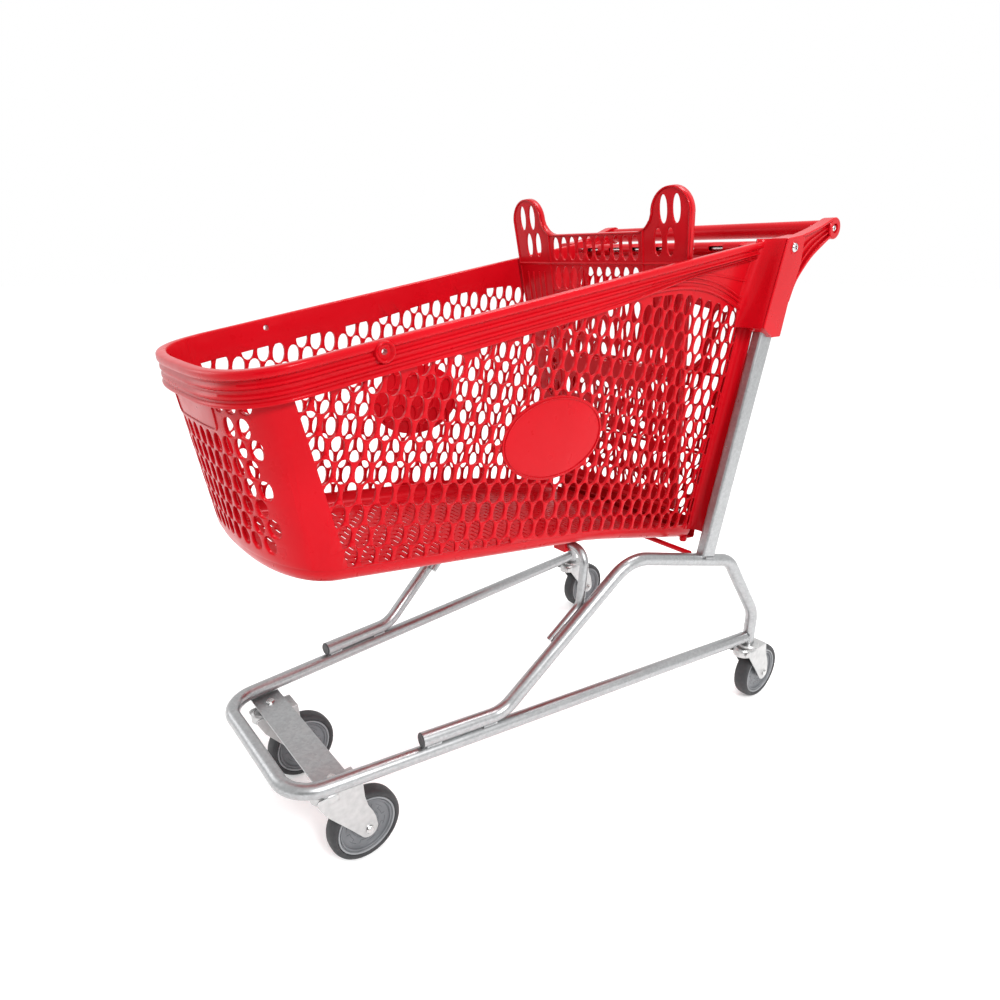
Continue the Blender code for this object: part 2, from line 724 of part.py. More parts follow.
def seat_plate():
    hinge = empty("seat_plate_hinge", (0.0, *seat_plate_hinge()))
    low = (-SEAT_PLATE_HALF, 0.001, -PANEL / 2)
    high = (SEAT_PLATE_HALF, SEAT_PLATE_LENGTH, PANEL / 2)
    obj = add("seat_plate", box_mesh("seat_plate", low, high), RED_PLASTIC, hinge)
    join(obj, cylinder_mesh("plate_knuckle", KNUCKLE_R, -SEAT_PLATE_HALF, SEAT_PLATE_HALF, SMALL_STEPS), hinge)
    cut(obj, cylinder_mesh("plate_bore", running_bore(SEAT_ROD_R, ROD_STEPS), -0.16, 0.16, ROD_STEPS), hinge)


# ---------------------------------------------------------------- castors

def castor_bolt(prefix, mount_z, above):
    """The kingpin: a bolt through the mount, the race and the fork's crown, with its nut inside."""
    crown = mount_z - RACE_H - FORK_SHEET
    nut_low = crown - FIT - 0.005
    if above:
        seat = PLATE_TOP + FIT
        top = [(0.0, seat + 0.0035), (0.0065, seat + 0.0035), (0.008, seat + 0.002), (0.008, seat),
               (BOLT_R, seat)]
    else:
        top = [(0.0, mount_z + 0.020), (BOLT_R, mount_z + 0.020)]
    low = [(BOLT_R, crown - FIT), (0.008, crown - FIT), (0.008, nut_low), (0.0, nut_low)]
    turned(prefix + "_bolt", top + low, BRIGHT_STEEL, SMALL_STEPS, (0.0, 0.0, 0.0))


def castor_race(prefix, mount_z):
    top, low = mount_z - FIT, mount_z - RACE_H + FIT
    inner = BOLT_R + FIT
    ring = [(RACE_R - 0.003, top), (RACE_R, top - 0.003), (RACE_R, low), (inner, low), (inner, top)]
    turned(prefix + "_race", ring, FORK_STEEL, 20, (0.0, 0.0, 0.0), closed=True)


def castor_fork(prefix, mount_z):
    """The pressed fork, an open-bottomed U that trails behind its swivel."""
    top = mount_z - RACE_H
    boss = arc((TRAIL, WHEEL_R), 0.016, -140, 0, 6)
    points = [(-0.036, top), (-0.036, top - 0.006), (-0.022, 0.128), (0.004, 0.094)] + boss
    points += [(0.052, 0.100), (0.044, 0.128), (0.043, top)]
    obj = side_plate(prefix + "_fork", points, -FORK_HALF, FORK_HALF, FORK_STEEL)
    obj.data.materials.append(material(FORK_STEEL))
    inner = FORK_HALF - FORK_SHEET
    cut(obj, box_mesh(prefix + "_fork_gap", (-inner, -0.2, -0.1), (inner, 0.2, top - FORK_SHEET)))
    cut(obj, cylinder_mesh(prefix + "_axle_hole", AXLE_R + FIT, -0.1, 0.1, SMALL_STEPS, (TRAIL, WHEEL_R)))
    crown_bore = running_bore(BOLT_R, SMALL_STEPS)
    hole = cylinder_mesh(prefix + "_crown_hole", crown_bore, -0.01, 0.01, SMALL_STEPS)
    hole.transform(Matrix.Translation((0.0, 0.0, top)) @ Matrix.Rotation(math.pi / 2, 4, "Y"))
    cut(obj, hole)
    return obj


def castor_axle(prefix, side):
    """The axle bolt, its head on the trolley's outer side, and its nut."""
    place = (0.0, TRAIL, WHEEL_R)
    facing = (0.0, side * math.pi / 2, 0.0)
    seat = FORK_HALF + FIT
    profile = [(0.0, seat + 0.004), (0.0055, seat + 0.004), (0.007, seat + 0.0025), (0.007, seat),
               (AXLE_R, seat), (AXLE_R, -seat - 0.008), (0.0, -seat - 0.008)]
    turned(prefix + "_axle", profile, BRIGHT_STEEL, SMALL_STEPS, place, facing)
    nut = [(0.0075, -seat), (0.0075, -seat - 0.006), (AXLE_R + FIT, -seat - 0.006), (AXLE_R + FIT, -seat)]
    turned(prefix + "_axle_nut", nut, BRIGHT_STEEL, SMALL_STEPS, place, facing, closed=True)


def castor_wheel(prefix):
    """A grey core with a recessed web, and the solid tyre on it."""
    boss = FORK_HALF - FORK_SHEET - 0.0007
    bore = running_bore(AXLE_R, CORE_STEPS)
    rim, web = 0.0115, 0.008
    half = [(CORE_R, rim), (0.042, rim), (0.040, web), (0.014, web), (0.012, boss), (bore, boss)]
    profile = list(reversed(half)) + [(r, -h) for r, h in half]
    turned(prefix + "_wheel_core", profile, CORE_GREY, CORE_STEPS, (0.0, TRAIL, WHEEL_R),
           (0.0, math.pi / 2, 0.0), closed=True)
    inner = CORE_R + FIT
    wide = WHEEL_W / 2
    half = [(WHEEL_R, 0.006), (WHEEL_R - 0.0025, 0.012), (WHEEL_R - 0.0065, wide), (inner, wide - 0.003)]
    profile = list(reversed(half)) + [(r, -h) for r, h in half]
    turned(prefix + "_tyre", profile, TYRE_GREY, WHEEL_STEPS, (0.0, TRAIL, WHEEL_R),
           (0.0, math.pi / 2, 0.0), closed=True)


def castor(prefix, side, place, mount_z, above):
    before = set(bpy.data.objects)
    castor_bolt(prefix, mount_z, above)
    castor_race(prefix, mount_z)
    castor_fork(prefix, mount_z)
    castor_axle(prefix, side)
    castor_wheel(prefix)
    swivel = empty(prefix + "_swivel", (side * place[0], place[1], 0.0))
    for obj in set(bpy.data.objects) - before - {swivel}:
        obj.parent = swivel


# ---------------------------------------------------------------- assembly

def main():
    clear_scene()
    base_frame()
    front_plate()
    floor_rods()
    handle()
    basket()
    for word, side in (("left", 1), ("right", -1)):
        hoop(word, side)
        hoop_plug(word, side)
        floor_clip(word, side)
        post(word, side)
        shoulder_bracket(word, side)
        side_screw("hinge_screw_" + word, side, GATE_HINGE, 0.008, 0.004, 0.0050)
        side_screw("handle_screw_" + word, side, HANDLE, 0.006, 0.003, 0.0116)
    gate_frame = gate()
    straight_rod("gate_hinge_rod", GATE_ROD_R, GATE_ROD_HALF, (0.0, *GATE_HINGE))
    straight_rod("seat_hinge_rod", SEAT_ROD_R, 0.1905, (0.0, *in_gate(SEAT_HINGE)), gate_frame)
    seat_back()
    seat_plate()
    front_mount = PLATE_TOP - PLATE_THICK
    for word, side in (("left", 1), ("right", -1)):
        castor("front_" + word, side, FRONT_CASTOR, front_mount, True)
        castor("rear_" + word, side, REAR_CASTOR, REAR_MOUNT_Z, False)


main()
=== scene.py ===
"""Rolling basket trolley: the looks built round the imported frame."""

import json
import math

import bmesh
import bpy
from mathutils import Matrix, Vector
from mathutils.geometry import delaunay_2d_cdt
from mathutils.kdtree import KDTree


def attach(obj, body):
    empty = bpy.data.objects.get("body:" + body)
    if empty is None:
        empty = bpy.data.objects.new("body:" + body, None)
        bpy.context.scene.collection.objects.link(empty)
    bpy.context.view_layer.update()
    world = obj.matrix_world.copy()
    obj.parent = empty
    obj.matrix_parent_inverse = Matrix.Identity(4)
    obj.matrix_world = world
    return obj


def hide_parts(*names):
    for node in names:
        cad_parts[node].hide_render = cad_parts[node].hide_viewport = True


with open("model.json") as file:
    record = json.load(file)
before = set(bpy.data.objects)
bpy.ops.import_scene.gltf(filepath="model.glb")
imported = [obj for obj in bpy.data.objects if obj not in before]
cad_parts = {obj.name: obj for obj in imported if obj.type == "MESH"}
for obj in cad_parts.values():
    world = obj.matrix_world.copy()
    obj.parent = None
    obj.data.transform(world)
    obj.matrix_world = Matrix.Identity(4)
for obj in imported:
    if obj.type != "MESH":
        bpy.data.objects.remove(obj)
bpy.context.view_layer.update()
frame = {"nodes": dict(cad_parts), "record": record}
FIT = 0.0003
EVEN = (1.0, 1.0, 1.0)
FRAME = "frame"
RED = "red_plastic"
TUBE = "galvanised_tube"
ZINC = "zinc_pressing"

# Base frame and hoops
TUBE_R = 0.0125
RAIL_X = 0.2164
RAIL_SPREAD = 0.1297
RAIL_Z = 0.1766
RAIL_FALL = -0.0263
NOSE_BAR_Y = -0.529
BASE_BEND_R = 0.058
HOOP_START_Y = -0.321
HOOP_BEND_Y = -0.171
HOOP_PEAK = (0.0949, 0.4315)
HOOP_REAR = (0.3598, 0.3674)
HOOP_KNEE = (0.4550, 0.2240)
HOOP_BEND_R = (0.060, 0.085, 0.055, 0.060)
ROD_R = 0.008
ROD_TOP_Z = 0.4545
ROD_Y = 0.017
ROD_FOOT_Y = -0.0588
ROD_BEND_Y = 0.005
FRONT_CASTOR = (0.125, -0.457)
REAR_CASTOR = (0.2752, 0.455)
FRONT_MOUNT_Z = 0.1722
REAR_MOUNT_Z = 0.1505
TRAIL = 0.048
WHEEL_R = 0.0625

# Basket surface: its inner wall and the upper side of its floor
RIM_X = 0.2263
RIM_SPREAD = 0.0582
RIM_Z = 0.9069
RIM_RISE = 0.1695
RIM_REAR_Y = 0.387
FLOOR_REAR_Y = 0.302
SIDE_FRONT_Y = -0.430
NOSE_TOP = 0.1355
NOSE_FLOOR = 0.082
NOSE_POWER_TOP = 3.2
NOSE_POWER_FLOOR = 2.24
RIM_WIDTH = 0.014
WALL = 0.003
WALL_OUT = 0.0054           # how far the perforated wall stands out of its middle surface
WALL_BACK = 0.0004
DRAFT = 0.0567
FLOOR_KINK = (0.042, 0.4648)
FLOOR_FALL_FRONT = -0.1158
FLOOR_FALL_REAR = -0.2204
EDGE_R_SIDE = 0.0205
EDGE_R_NOSE = 0.024
CORNER_WAY = 1.25           # where the side panel meets the nose panel

# Wall holes
HOLE_SLOPE = math.radians(-10.7)
HOLE_PITCH = 0.0265
HOLE_ROW = 0.0300
HOLE_HALF = (0.0105, 0.0168)
HOLE_POWER = 2.25
HOLE_STEPS = 16
EDGE_ROUND = 0.0011
CUT_REACH = 0.008           # how far past an edge's ends it still cuts a hole
BADGE = (-0.075, 0.675, 0.100, 0.067)
BOSS = (-0.367, 0.830)
BOSS_HOLE = 0.0045

# Nose panel and floor
NOSE_HEIGHT = 0.285
NOSE_HOLE_PITCH = 0.0262
NOSE_HOLE_ROW = 0.0295
NOSE_HOLE_FOOT = 0.030
NOSE_ROWS_TO = 0.225        # the highest row that runs all round
BLANK_FROM = 0.20           # the rows above this leave room for the blank panel
BLANK_HALF = 0.084
SLIT_PITCH = 0.034
SLIT_ROW = 0.0135
SLIT_HALF = (0.0125, 0.0017)
THIN = 0.0022               # the lips' and pressings' sheet

# Rim section as (inset, drop), and how it thins out towards the rear arch
RIM_PROFILE = [
    (0.0132, 0.0035), (0.0125, 0.0010), (0.0105, 0.0), (0.0035, 0.0), (0.0012, 0.0008),
    (0.0, 0.0028), (0.0, 0.0085), (0.0008, 0.0105), (0.0030, 0.0115), (0.0050, 0.0128),
    (0.0050, 0.0165), (0.0024, 0.0185), (0.0024, 0.0215), (0.0050, 0.0232), (0.0060, 0.0245),
    (0.0060, 0.0285), (0.0032, 0.0305), (0.0032, 0.0335), (0.0056, 0.0352), (0.0064, 0.0365),
    (0.0064, 0.0390), (0.0036, 0.0408), (0.0030, 0.0425), (0.0036, 0.0446), (0.0056, 0.0450),
    (0.0075, 0.0435), (0.0090, 0.0400), (0.0090, 0.0060), (0.0100, 0.0045)]
RIM_LIP = 0.0200
RIM_FADE = (-0.02, 0.26)
RIM_REAR_SHARE = 0.30

# Limits of the wall's holes, and the arch above them, as (y, z)
HOLE_TOP = [(-0.48, 0.782), (-0.30, 0.812), (-0.13, 0.838), (-0.02, 0.862), (0.08, 0.879),
            (0.18, 0.886), (0.27, 0.877), (0.33, 0.862), (0.362, 0.846)]
HOLE_FOOT = [(0.297, 0.442), (0.20, 0.452), (0.06, 0.484), (-0.05, 0.500), (-0.425, 0.545)]
ARCH = [(-0.22, 0.824), (-0.12, 0.842), (-0.03, 0.861), (0.05, 0.878), (0.12, 0.889), (0.18, 0.8935),
        (0.24, 0.889), (0.29, 0.876), (0.33, 0.860), (0.362, 0.843), (0.378, 0.833)]

# Gate and seat
GATE_HINGE = (0.411, 0.960)
GATE_LEAN = math.radians(9.9)
GATE_LENGTH = 0.545
GATE_TOP_HALF = 0.226
GATE_LOW_HALF = 0.192
SEAT_HINGE = (0.282, 0.470)
SEAT_LEAN = math.radians(9.3)
SEAT_PLATE_AT = (0.010, 0.2635)
SEAT_PLATE_LENGTH = 0.108
SEAT_PLATE_HALF = 0.145
KNUCKLE_R = 0.006

# Brackets and handle
BRACKET_IN = 0.2495
BRACKET_ARM = 0.2620
BRACKET_OUT = 0.2850
HANDLE = (0.545, 0.9955)
HANDLE_R = 0.015
CAP_R = 0.019

# Posts
POST_FOOT_Y = 0.287
POST_LEAN = 0.2167
POST_SPREAD = 0.0214
POST_DEPTH = 0.038
POST_WIDTH = 0.022
POST_CORNER = 0.006
POST_TOP_Z = 0.935
POST_INNER_X = 0.2428       # the side of the post that the rear flange meets
TOP_BAR_FALL = -0.2422

# Camera, solved from the trolley's symmetry
EYE = (0.96228, -0.79287, 0.93528)
YAW = 0.89297
PITCH = 0.33596
ROLL = 0.00391
LENS = 24.657
SHIFT = (-0.00157, 0.00051)

# Lamps: name, place, size and power
LAMPS = (("key", (3.2, -0.7, 2.8), 1.0, 125.0), ("fill", (-2.6, -2.4, 1.8), 1.6, 16.0),
         ("top", (0.2, 1.2, 3.6), 1.1, 60.0))


# ---------------------------------------------------------------- materials

def links(made):
    return made.node_tree.nodes, made.node_tree.links


def noise_node(made, scale, detail, stretch=EVEN):
    nodes, wires = links(made)
    place = nodes.new("ShaderNodeTexCoord")
    mapping = nodes.new("ShaderNodeMapping")
    mapping.inputs["Scale"].default_value = stretch
    wires.new(place.outputs["Object"], mapping.inputs["Vector"])
    noise = nodes.new("ShaderNodeTexNoise")
    noise.inputs["Scale"].default_value = scale
    noise.inputs["Detail"].default_value = detail
    wires.new(mapping.outputs["Vector"], noise.inputs["Vector"])
    return noise


def spread(made, source, low, high, start=0.3, end=0.7):
    """Map a 0 to 1 texture to a range."""
    nodes, wires = links(made)
    ramp = nodes.new("ShaderNodeMapRange")
    ramp.inputs["From Min"].default_value = start
    ramp.inputs["From Max"].default_value = end
    ramp.inputs["To Min"].default_value = low
    ramp.inputs["To Max"].default_value = high
    wires.new(source, ramp.inputs["Value"])
    return ramp.outputs["Result"]


def tint(made, source, first, second, start=0.3, end=0.7):
    nodes, wires = links(made)
    ramp = nodes.new("ShaderNodeValToRGB")
    ramp.color_ramp.elements[0].position = start
    ramp.color_ramp.elements[0].color = (*first, 1.0)
    ramp.color_ramp.elements[1].position = end
    ramp.color_ramp.elements[1].color = (*second, 1.0)
    wires.new(source, ramp.inputs["Fac"])
    return ramp.outputs["Color"]


def bumped(made, source, strength, distance):
    nodes, wires = links(made)
    bump = nodes.new("ShaderNodeBump")
    bump.inputs["Strength"].default_value = strength
    bump.inputs["Distance"].default_value = distance
    wires.new(source, bump.inputs["Height"])
    return bump.outputs["Normal"]


def principled(name, metallic, **sockets):
    made = bpy.data.materials.new(name)
    made.use_nodes = True
    shader = made.node_tree.nodes["Principled BSDF"]
    shader.inputs["Metallic"].default_value = metallic
    for key, value in sockets.items():
        shader.inputs[key.replace("_", " ")].default_value = value
    return made, shader


def skin(made, shader, rough, grain):
    """Roughness from (scale, detail, least, most, stretch), bump from (scale, detail, strength, size)."""
    wires = made.node_tree.links
    scale, detail, least, most, stretch = rough
    cloud = noise_node(made, scale, detail, stretch).outputs["Fac"]
    wires.new(spread(made, cloud, least, most), shader.inputs["Roughness"])
    scale, detail, strength, size = grain
    relief = noise_node(made, scale, detail).outputs["Fac"]
    wires.new(bumped(made, relief, strength, size), shader.inputs["Normal"])


def clouded(name, metallic, colours, rough, grain, **sockets):
    """A material with cloudy colour; colours is (scale, detail, first, second)."""
    made, shader = principled(name, metallic, **sockets)
    scale, detail, first, second = colours
    cloud = noise_node(made, scale, detail).outputs["Fac"]
    made.node_tree.links.new(tint(made, cloud, first, second), shader.inputs["Base Color"])
    skin(made, shader, (*rough, EVEN), grain)
    return made


def red_plastic(name, gloss, coat):
    """Moulded polypropylene; its gloss is tinted, so that the red stays deep."""
    return clouded(name, 0.0, (6.0, 3.0, (0.385, 0.0016, 0.0050), (0.450, 0.0025, 0.0075)),
                   (35.0, 4.0, 0.26, 0.34), (70.0, 2.0, 0.04, 0.0003), IOR=1.48,
                   Specular_IOR_Level=gloss, Coat_Weight=coat, Coat_Roughness=0.10,
                   Specular_Tint=(1.0, 0.16, 0.20, 1.0))


def galvanised():
    """Zinc-dipped tube with fine spangles and streaks along it."""
    made, shader = principled("galvanised", 0.92)
    nodes, wires = links(made)
    spangle = nodes.new("ShaderNodeTexVoronoi")
    spangle.inputs["Scale"].default_value = 260.0
    place = nodes.new("ShaderNodeTexCoord")
    wires.new(place.outputs["Object"], spangle.inputs["Vector"])
    colour = tint(made, spangle.outputs["Color"], (0.33, 0.335, 0.34), (0.40, 0.405, 0.41), 0.1, 0.9)
    wires.new(colour, shader.inputs["Base Color"])
    skin(made, shader, (45.0, 5.0, 0.27, 0.38, (1.0, 0.25, 1.0)), (300.0, 2.0, 0.03, 0.0003))
    return made


def soft_part(name, dark, pale, rough, grain):
    """A matt moulded or rubber part with a fine surface grain."""
    return clouded(name, 0.0, (55.0, 5.0, dark, pale), (120.0, 3.0, rough - 0.06, rough + 0.08),
                   (grain, 3.0, 0.18, 0.0004))


FINISHES = {
    "red_plastic": red_plastic("moulded_red", 0.32, 0.08),
    "galvanised_tube": galvanised(),
    "zinc_pressing": clouded("zinc_plate", 0.85, (90.0, 4.0, (0.42, 0.42, 0.42), (0.50, 0.50, 0.497)),
                             (30.0, 4.0, 0.30, 0.46), (320.0, 2.0, 0.04, 0.0003)),
    "bright_steel": clouded("bright_plated", 1.0, (160.0, 3.0, (0.48, 0.48, 0.475), (0.58, 0.58, 0.575)),
                            (240.0, 3.0, 0.16, 0.30), (900.0, 2.0, 0.06, 0.0003)),
    "plug_plastic": soft_part("plug_grey", (0.034, 0.034, 0.036), (0.052, 0.052, 0.054), 0.55, 1100.0),
    "wheel_core": soft_part("core_grey", (0.105, 0.110, 0.118), (0.135, 0.140, 0.150), 0.42, 1300.0),
    "tyre_rubber": soft_part("tyre_grey", (0.016, 0.016, 0.018), (0.028, 0.028, 0.030), 0.62, 800.0),
}
FLOOR_RED = red_plastic("grained_red", 0.06, 0.0)
RING_GREY = soft_part("ring_grey", (0.20, 0.205, 0.215), (0.24, 0.245, 0.255), 0.38, 1300.0)


def finish_nodes():
    """Give each CAD node the finish of its slot."""
    for row in frame["record"]["subparts"]:
        node = frame["nodes"][row["node"]]
        for i in range(len(node.data.materials)):
            node.data.materials[i] = FINISHES[row["material_slot"]]


# ---------------------------------------------------------------- pieces

def linked(name, data):
    obj = bpy.data.objects.new(name, data)
    bpy.context.scene.collection.objects.link(obj)
    return obj


def piece(name, data, body=FRAME, slot=RED, nodes=()):
    """A new object that rides on a body, has its slot's finish and stands for CAD nodes."""
    obj = linked(name, data)
    data.materials.append(FINISHES[slot])
    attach(obj, body)
    if nodes:
        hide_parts(*nodes)
    return obj


def mesh_data(name, verts, faces, smooth=True):
    mesh = bpy.data.meshes.new(name)
    mesh.from_pydata([tuple(v) for v in verts], [], faces)
    mesh.validate()
    for face in mesh.polygons:
        face.use_smooth = smooth
    return mesh


def tidy_normals(obj):
    weighted = obj.modifiers.new("Normals", "WEIGHTED_NORMAL")
    weighted.keep_sharp = True
    return obj


def crease(obj, degrees=40.0):
    """Mark the edges that stay sharp under smooth shading."""
    mesh = obj.data
    sharp = mesh.attributes.new("sharp_edge", "BOOLEAN", "EDGE")
    sides = {}
    for face in mesh.polygons:
        for key in face.edge_keys:
            sides.setdefault(key, []).append(face.normal)
    limit = math.cos(math.radians(degrees))
    for edge in mesh.edges:
        around = sides.get(tuple(sorted(edge.vertices)), ())
        if len(around) == 2 and around[0].dot(around[1]) < limit:
            sharp.data[edge.index].value = True
    return obj


def line(name, points, radius, body=FRAME, slot=RED, nodes=(), cyclic=False, sides=6):
    """A round bar along a path."""
    curve = bpy.data.curves.new(name, "CURVE")
    curve.dimensions = "3D"
    curve.bevel_depth = radius
    curve.bevel_resolution = sides
    curve.use_fill_caps = True
    spline = curve.splines.new("POLY")
    spline.use_cyclic_u = cyclic
    spline.use_smooth = True
    spline.points.add(len(points) - 1)
    for spot, point in zip(spline.points, points):
        spot.co = (*point, 1.0)
    return piece(name, curve, body, slot, nodes)


def rounded_path(corners, radii, steps=14):
    corners = [Vector(c) for c in corners]
    path = [corners[0]]
    for before, here, after, radius in zip(corners, corners[1:], corners[2:], radii):
        back = (before - here).normalized()
        ahead = (after - here).normalized()
        half = back.angle(ahead) / 2.0
        centre = here + (back + ahead).normalized() * (radius / math.sin(half))
        first = here + back * (radius / math.tan(half)) - centre
        last = here + ahead * (radius / math.tan(half)) - centre
        sweep = first.angle(last)
        for i in range(steps + 1):
            a = math.sin(sweep * (1 - i / steps)) / math.sin(sweep)
            b = math.sin(sweep * i / steps) / math.sin(sweep)
            path.append(centre + first * a + last * b)
    path.append(corners[-1])
    return path


def mirrored(point, side):
    return Vector((point[0] * side, point[1], point[2]))


def arc(centre, radius, start, end, steps):
    points = []
    for i in range(steps + 1):
        angle = math.radians(start + (end - start) * i / steps)
        points.append((centre[0] + radius * math.cos(angle), centre[1] + radius * math.sin(angle)))
    return points


def oval(centre, half, power=2.0, turn=0.0, steps=HOLE_STEPS):
    """A super-ellipse outline, counter-clockwise."""
    c, s = math.cos(turn), math.sin(turn)
    points = []
    for i in range(steps):
        angle = 2 * math.pi * i / steps
        x = half[0] * math.copysign(abs(math.cos(angle)) ** (2 / power), math.cos(angle))
        y = half[1] * math.copysign(abs(math.sin(angle)) ** (2 / power), math.sin(angle))
        points.append((centre[0] + x * c - y * s, centre[1] + x * s + y * c))
    return points


def round_rect(low, high, radius, steps=4):
    """A rectangle with round corners, counter-clockwise."""
    points = []
    spots = ((high[0], high[1], 0), (low[0], high[1], 90), (low[0], low[1], 180), (high[0], low[1], 270))
    for x, y, start in spots:
        cx = x - radius if x == high[0] else x + radius
        cy = y - radius if y == high[1] else y + radius
        points += arc((cx, cy), radius, start, start + 90, steps)
    return points


def inside(point, polygon):
    x, y = point
    found = False
    for (ax, ay), (bx, by) in zip(polygon, polygon[1:] + polygon[:1]):
        if (ay > y) != (by > y) and x < (bx - ax) * (y - ay) / (by - ay) + ax:
            found = not found
    return found


def gap_to(point, polygon):
    """Distance from a point to a polygon's outline."""
    best = 1e9
    px, py = point
    for (ax, ay), (bx, by) in zip(polygon, polygon[1:] + polygon[:1]):
        dx, dy = bx - ax, by - ay
        size = dx * dx + dy * dy
        t = 0.0 if size == 0.0 else max(0.0, min(1.0, ((px - ax) * dx + (py - ay) * dy) / size))
        best = min(best, (px - ax - dx * t) ** 2 + (py - ay - dy * t) ** 2)
    return math.sqrt(best)


def clipped(polygon, keep, centre):
    """A convex polygon cut off flat by the nearest edges of a counter-clockwise outline."""
    for (ax, ay), (bx, by) in zip(keep, keep[1:] + keep[:1]):
        size = math.hypot(bx - ax, by - ay)
        along = ((centre[0] - ax) * (bx - ax) + (centre[1] - ay) * (by - ay)) / size
        if not -CUT_REACH <= along <= size + CUT_REACH:
            continue
        made = []
        for p, q in zip(polygon, polygon[1:] + polygon[:1]):
            sp = (bx - ax) * (p[1] - ay) - (by - ay) * (p[0] - ax)
            sq = (bx - ax) * (q[1] - ay) - (by - ay) * (q[0] - ax)
            if sp >= 0:
                made.append(p)
            if (sp >= 0) != (sq >= 0):
                t = sp / (sp - sq)
                made.append((p[0] + (q[0] - p[0]) * t, p[1] + (q[1] - p[1]) * t))
        polygon = made
        if len(polygon) < 3:
            return []
    return polygon


def wound(polygon):
    """The same outline, counter-clockwise."""
    return polygon if area(polygon) > 0 else polygon[::-1]


def area(polygon):
    total = 0.0
    for (ax, ay), (bx, by) in zip(polygon, polygon[1:] + polygon[:1]):
        total += ax * by - bx * ay
    return total / 2


def resampled(polygon, most):
    """Split the long edges of a polygon."""
    points = []
    for (ax, ay), (bx, by) in zip(polygon, polygon[1:] + polygon[:1]):
        count = max(1, math.ceil(math.hypot(bx - ax, by - ay) / most))
        points += [(ax + (bx - ax) * i / count, ay + (by - ay) * i / count) for i in range(count)]
    return points


def grown(polygon, by):
    """A convex polygon moved outwards from its centre."""
    cx = sum(p[0] for p in polygon) / len(polygon)
    cy = sum(p[1] for p in polygon) / len(polygon)
    made = []
    for x, y in polygon:
        size = math.hypot(x - cx, y - cy)
        made.append((cx + (x - cx) * (size + by) / size, cy + (y - cy) * (size + by) / size))
    return made


def flat_cells(outline, holes, grid, ring):
    """Triangles of a flat outline with holes: points, triangles and the hole nearest to each point."""
    points, edges = [], []

    def loop(polygon):
        first = len(points)
        points.extend(polygon)
        edges.extend((first + i, first + (i + 1) % len(polygon)) for i in range(len(polygon)))

    loop(outline)
    for hole in holes:
        loop(hole)
        if ring:
            points.extend(grown(hole, ring))
    xs, ys = [p[0] for p in outline], [p[1] for p in outline]
    tree = KDTree(max(len(holes), 1))
    reaches = []
    for i, hole in enumerate(holes):
        centre = (sum(p[0] for p in hole) / len(hole), sum(p[1] for p in hole) / len(hole))
        reach = max(math.hypot(p[0] - centre[0], p[1] - centre[1]) for p in hole)
        reaches.append(reach)
        tree.insert((*centre, 0.0), i)
    tree.balance()

    def near(point, extra):
        if not holes:
            return []
        found = tree.find_n((*point, 0.0), min(5, len(holes)))
        return [i for _, i, far in found if far < reaches[i] + extra]

    apart = grid * 0.3
    for i in range(int((max(xs) - min(xs)) / grid) + 1):
        for j in range(int((max(ys) - min(ys)) / grid) + 1):
            point = (min(xs) + (i + 0.5) * grid, min(ys) + (j + 0.5) * grid)
            if not inside(point, outline) or near(point, apart):
                continue
            if gap_to(point, outline) > apart:
                points.append(point)
    made = delaunay_2d_cdt([Vector(p) for p in points], edges, [], 0, 1e-7)
    flat = [(v.x, v.y) for v in made[0]]
    cells = []
    for cell in made[2]:
        middle = (sum(flat[i][0] for i in cell) / 3, sum(flat[i][1] for i in cell) / 3)
        if inside(middle, outline) and not any(inside(middle, holes[i]) for i in near(middle, 0.0)):
            cells.append(tuple(cell))
    return flat, cells, near


def panel(name, outline, holes, place, body=FRAME, slot=RED, nodes=(), out=WALL, back=0.0, grid=0.03,
          ring=EDGE_ROUND):
    """A moulded panel with rounded holes. place gives the point and the outward normal at (u, v)."""
    flat, cells, near = flat_cells(outline, holes, grid, ring)
    fronts, backs = [], []
    for point in flat:
        drop = 0.0
        gaps = [gap_to(point, holes[i]) for i in near(point, ring * 2)] if ring else []
        if ring:
            gaps.append(gap_to(point, outline))
            drop = ring * 0.8 * max(0.0, 1.0 - min(gaps) / ring) ** 2
        spot, normal = place(*point)
        fronts.append(spot + normal * (out - drop))
        backs.append(spot - normal * (back - drop))
    count = len(flat)
    used = {}
    for a, b, c in cells:
        for edge in ((a, b), (b, c), (c, a)):
            used[edge] = used.get(edge, 0) + 1
    faces = [tuple(cell) for cell in cells]
    faces += [(c + count, b + count, a + count) for a, b, c in cells]
    for a, b in used:
        if (b, a) not in used:
            faces.append((b, a, a + count, b + count))
    mesh = mesh_data(name, fronts + backs, faces)
    obj = piece(name, mesh, body, slot, nodes)
    crease(obj, 50.0)
    return tidy_normals(obj)


# ---------------------------------------------------------------- basket

def rim_z(y):
    return RIM_Z + RIM_RISE * y


def floor_z(y):
    kink_y, kink_z = FLOOR_KINK
    fall = FLOOR_FALL_REAR if y > kink_y else FLOOR_FALL_FRONT
    return kink_z + fall * (y - kink_y)


def plan_point(way, inset, rear_y, nose_length, power):
    if way <= 1.0:
        y = rear_y + (SIDE_FRONT_Y - rear_y) * way
        return RIM_X + RIM_SPREAD * y - inset, y
    angle = (way - 1.0) * math.pi / 2
    half = RIM_X + RIM_SPREAD * SIDE_FRONT_Y - inset
    x = half * max(math.cos(angle), 0.0) ** (2 / power)
    return x, SIDE_FRONT_Y - nose_length * math.sin(angle) ** (2 / power)


def rim_point(way, inset, drop):
    x, y = plan_point(way, inset, RIM_REAR_Y, NOSE_TOP - inset, NOSE_POWER_TOP)
    return Vector((x, y, rim_z(y) - drop))


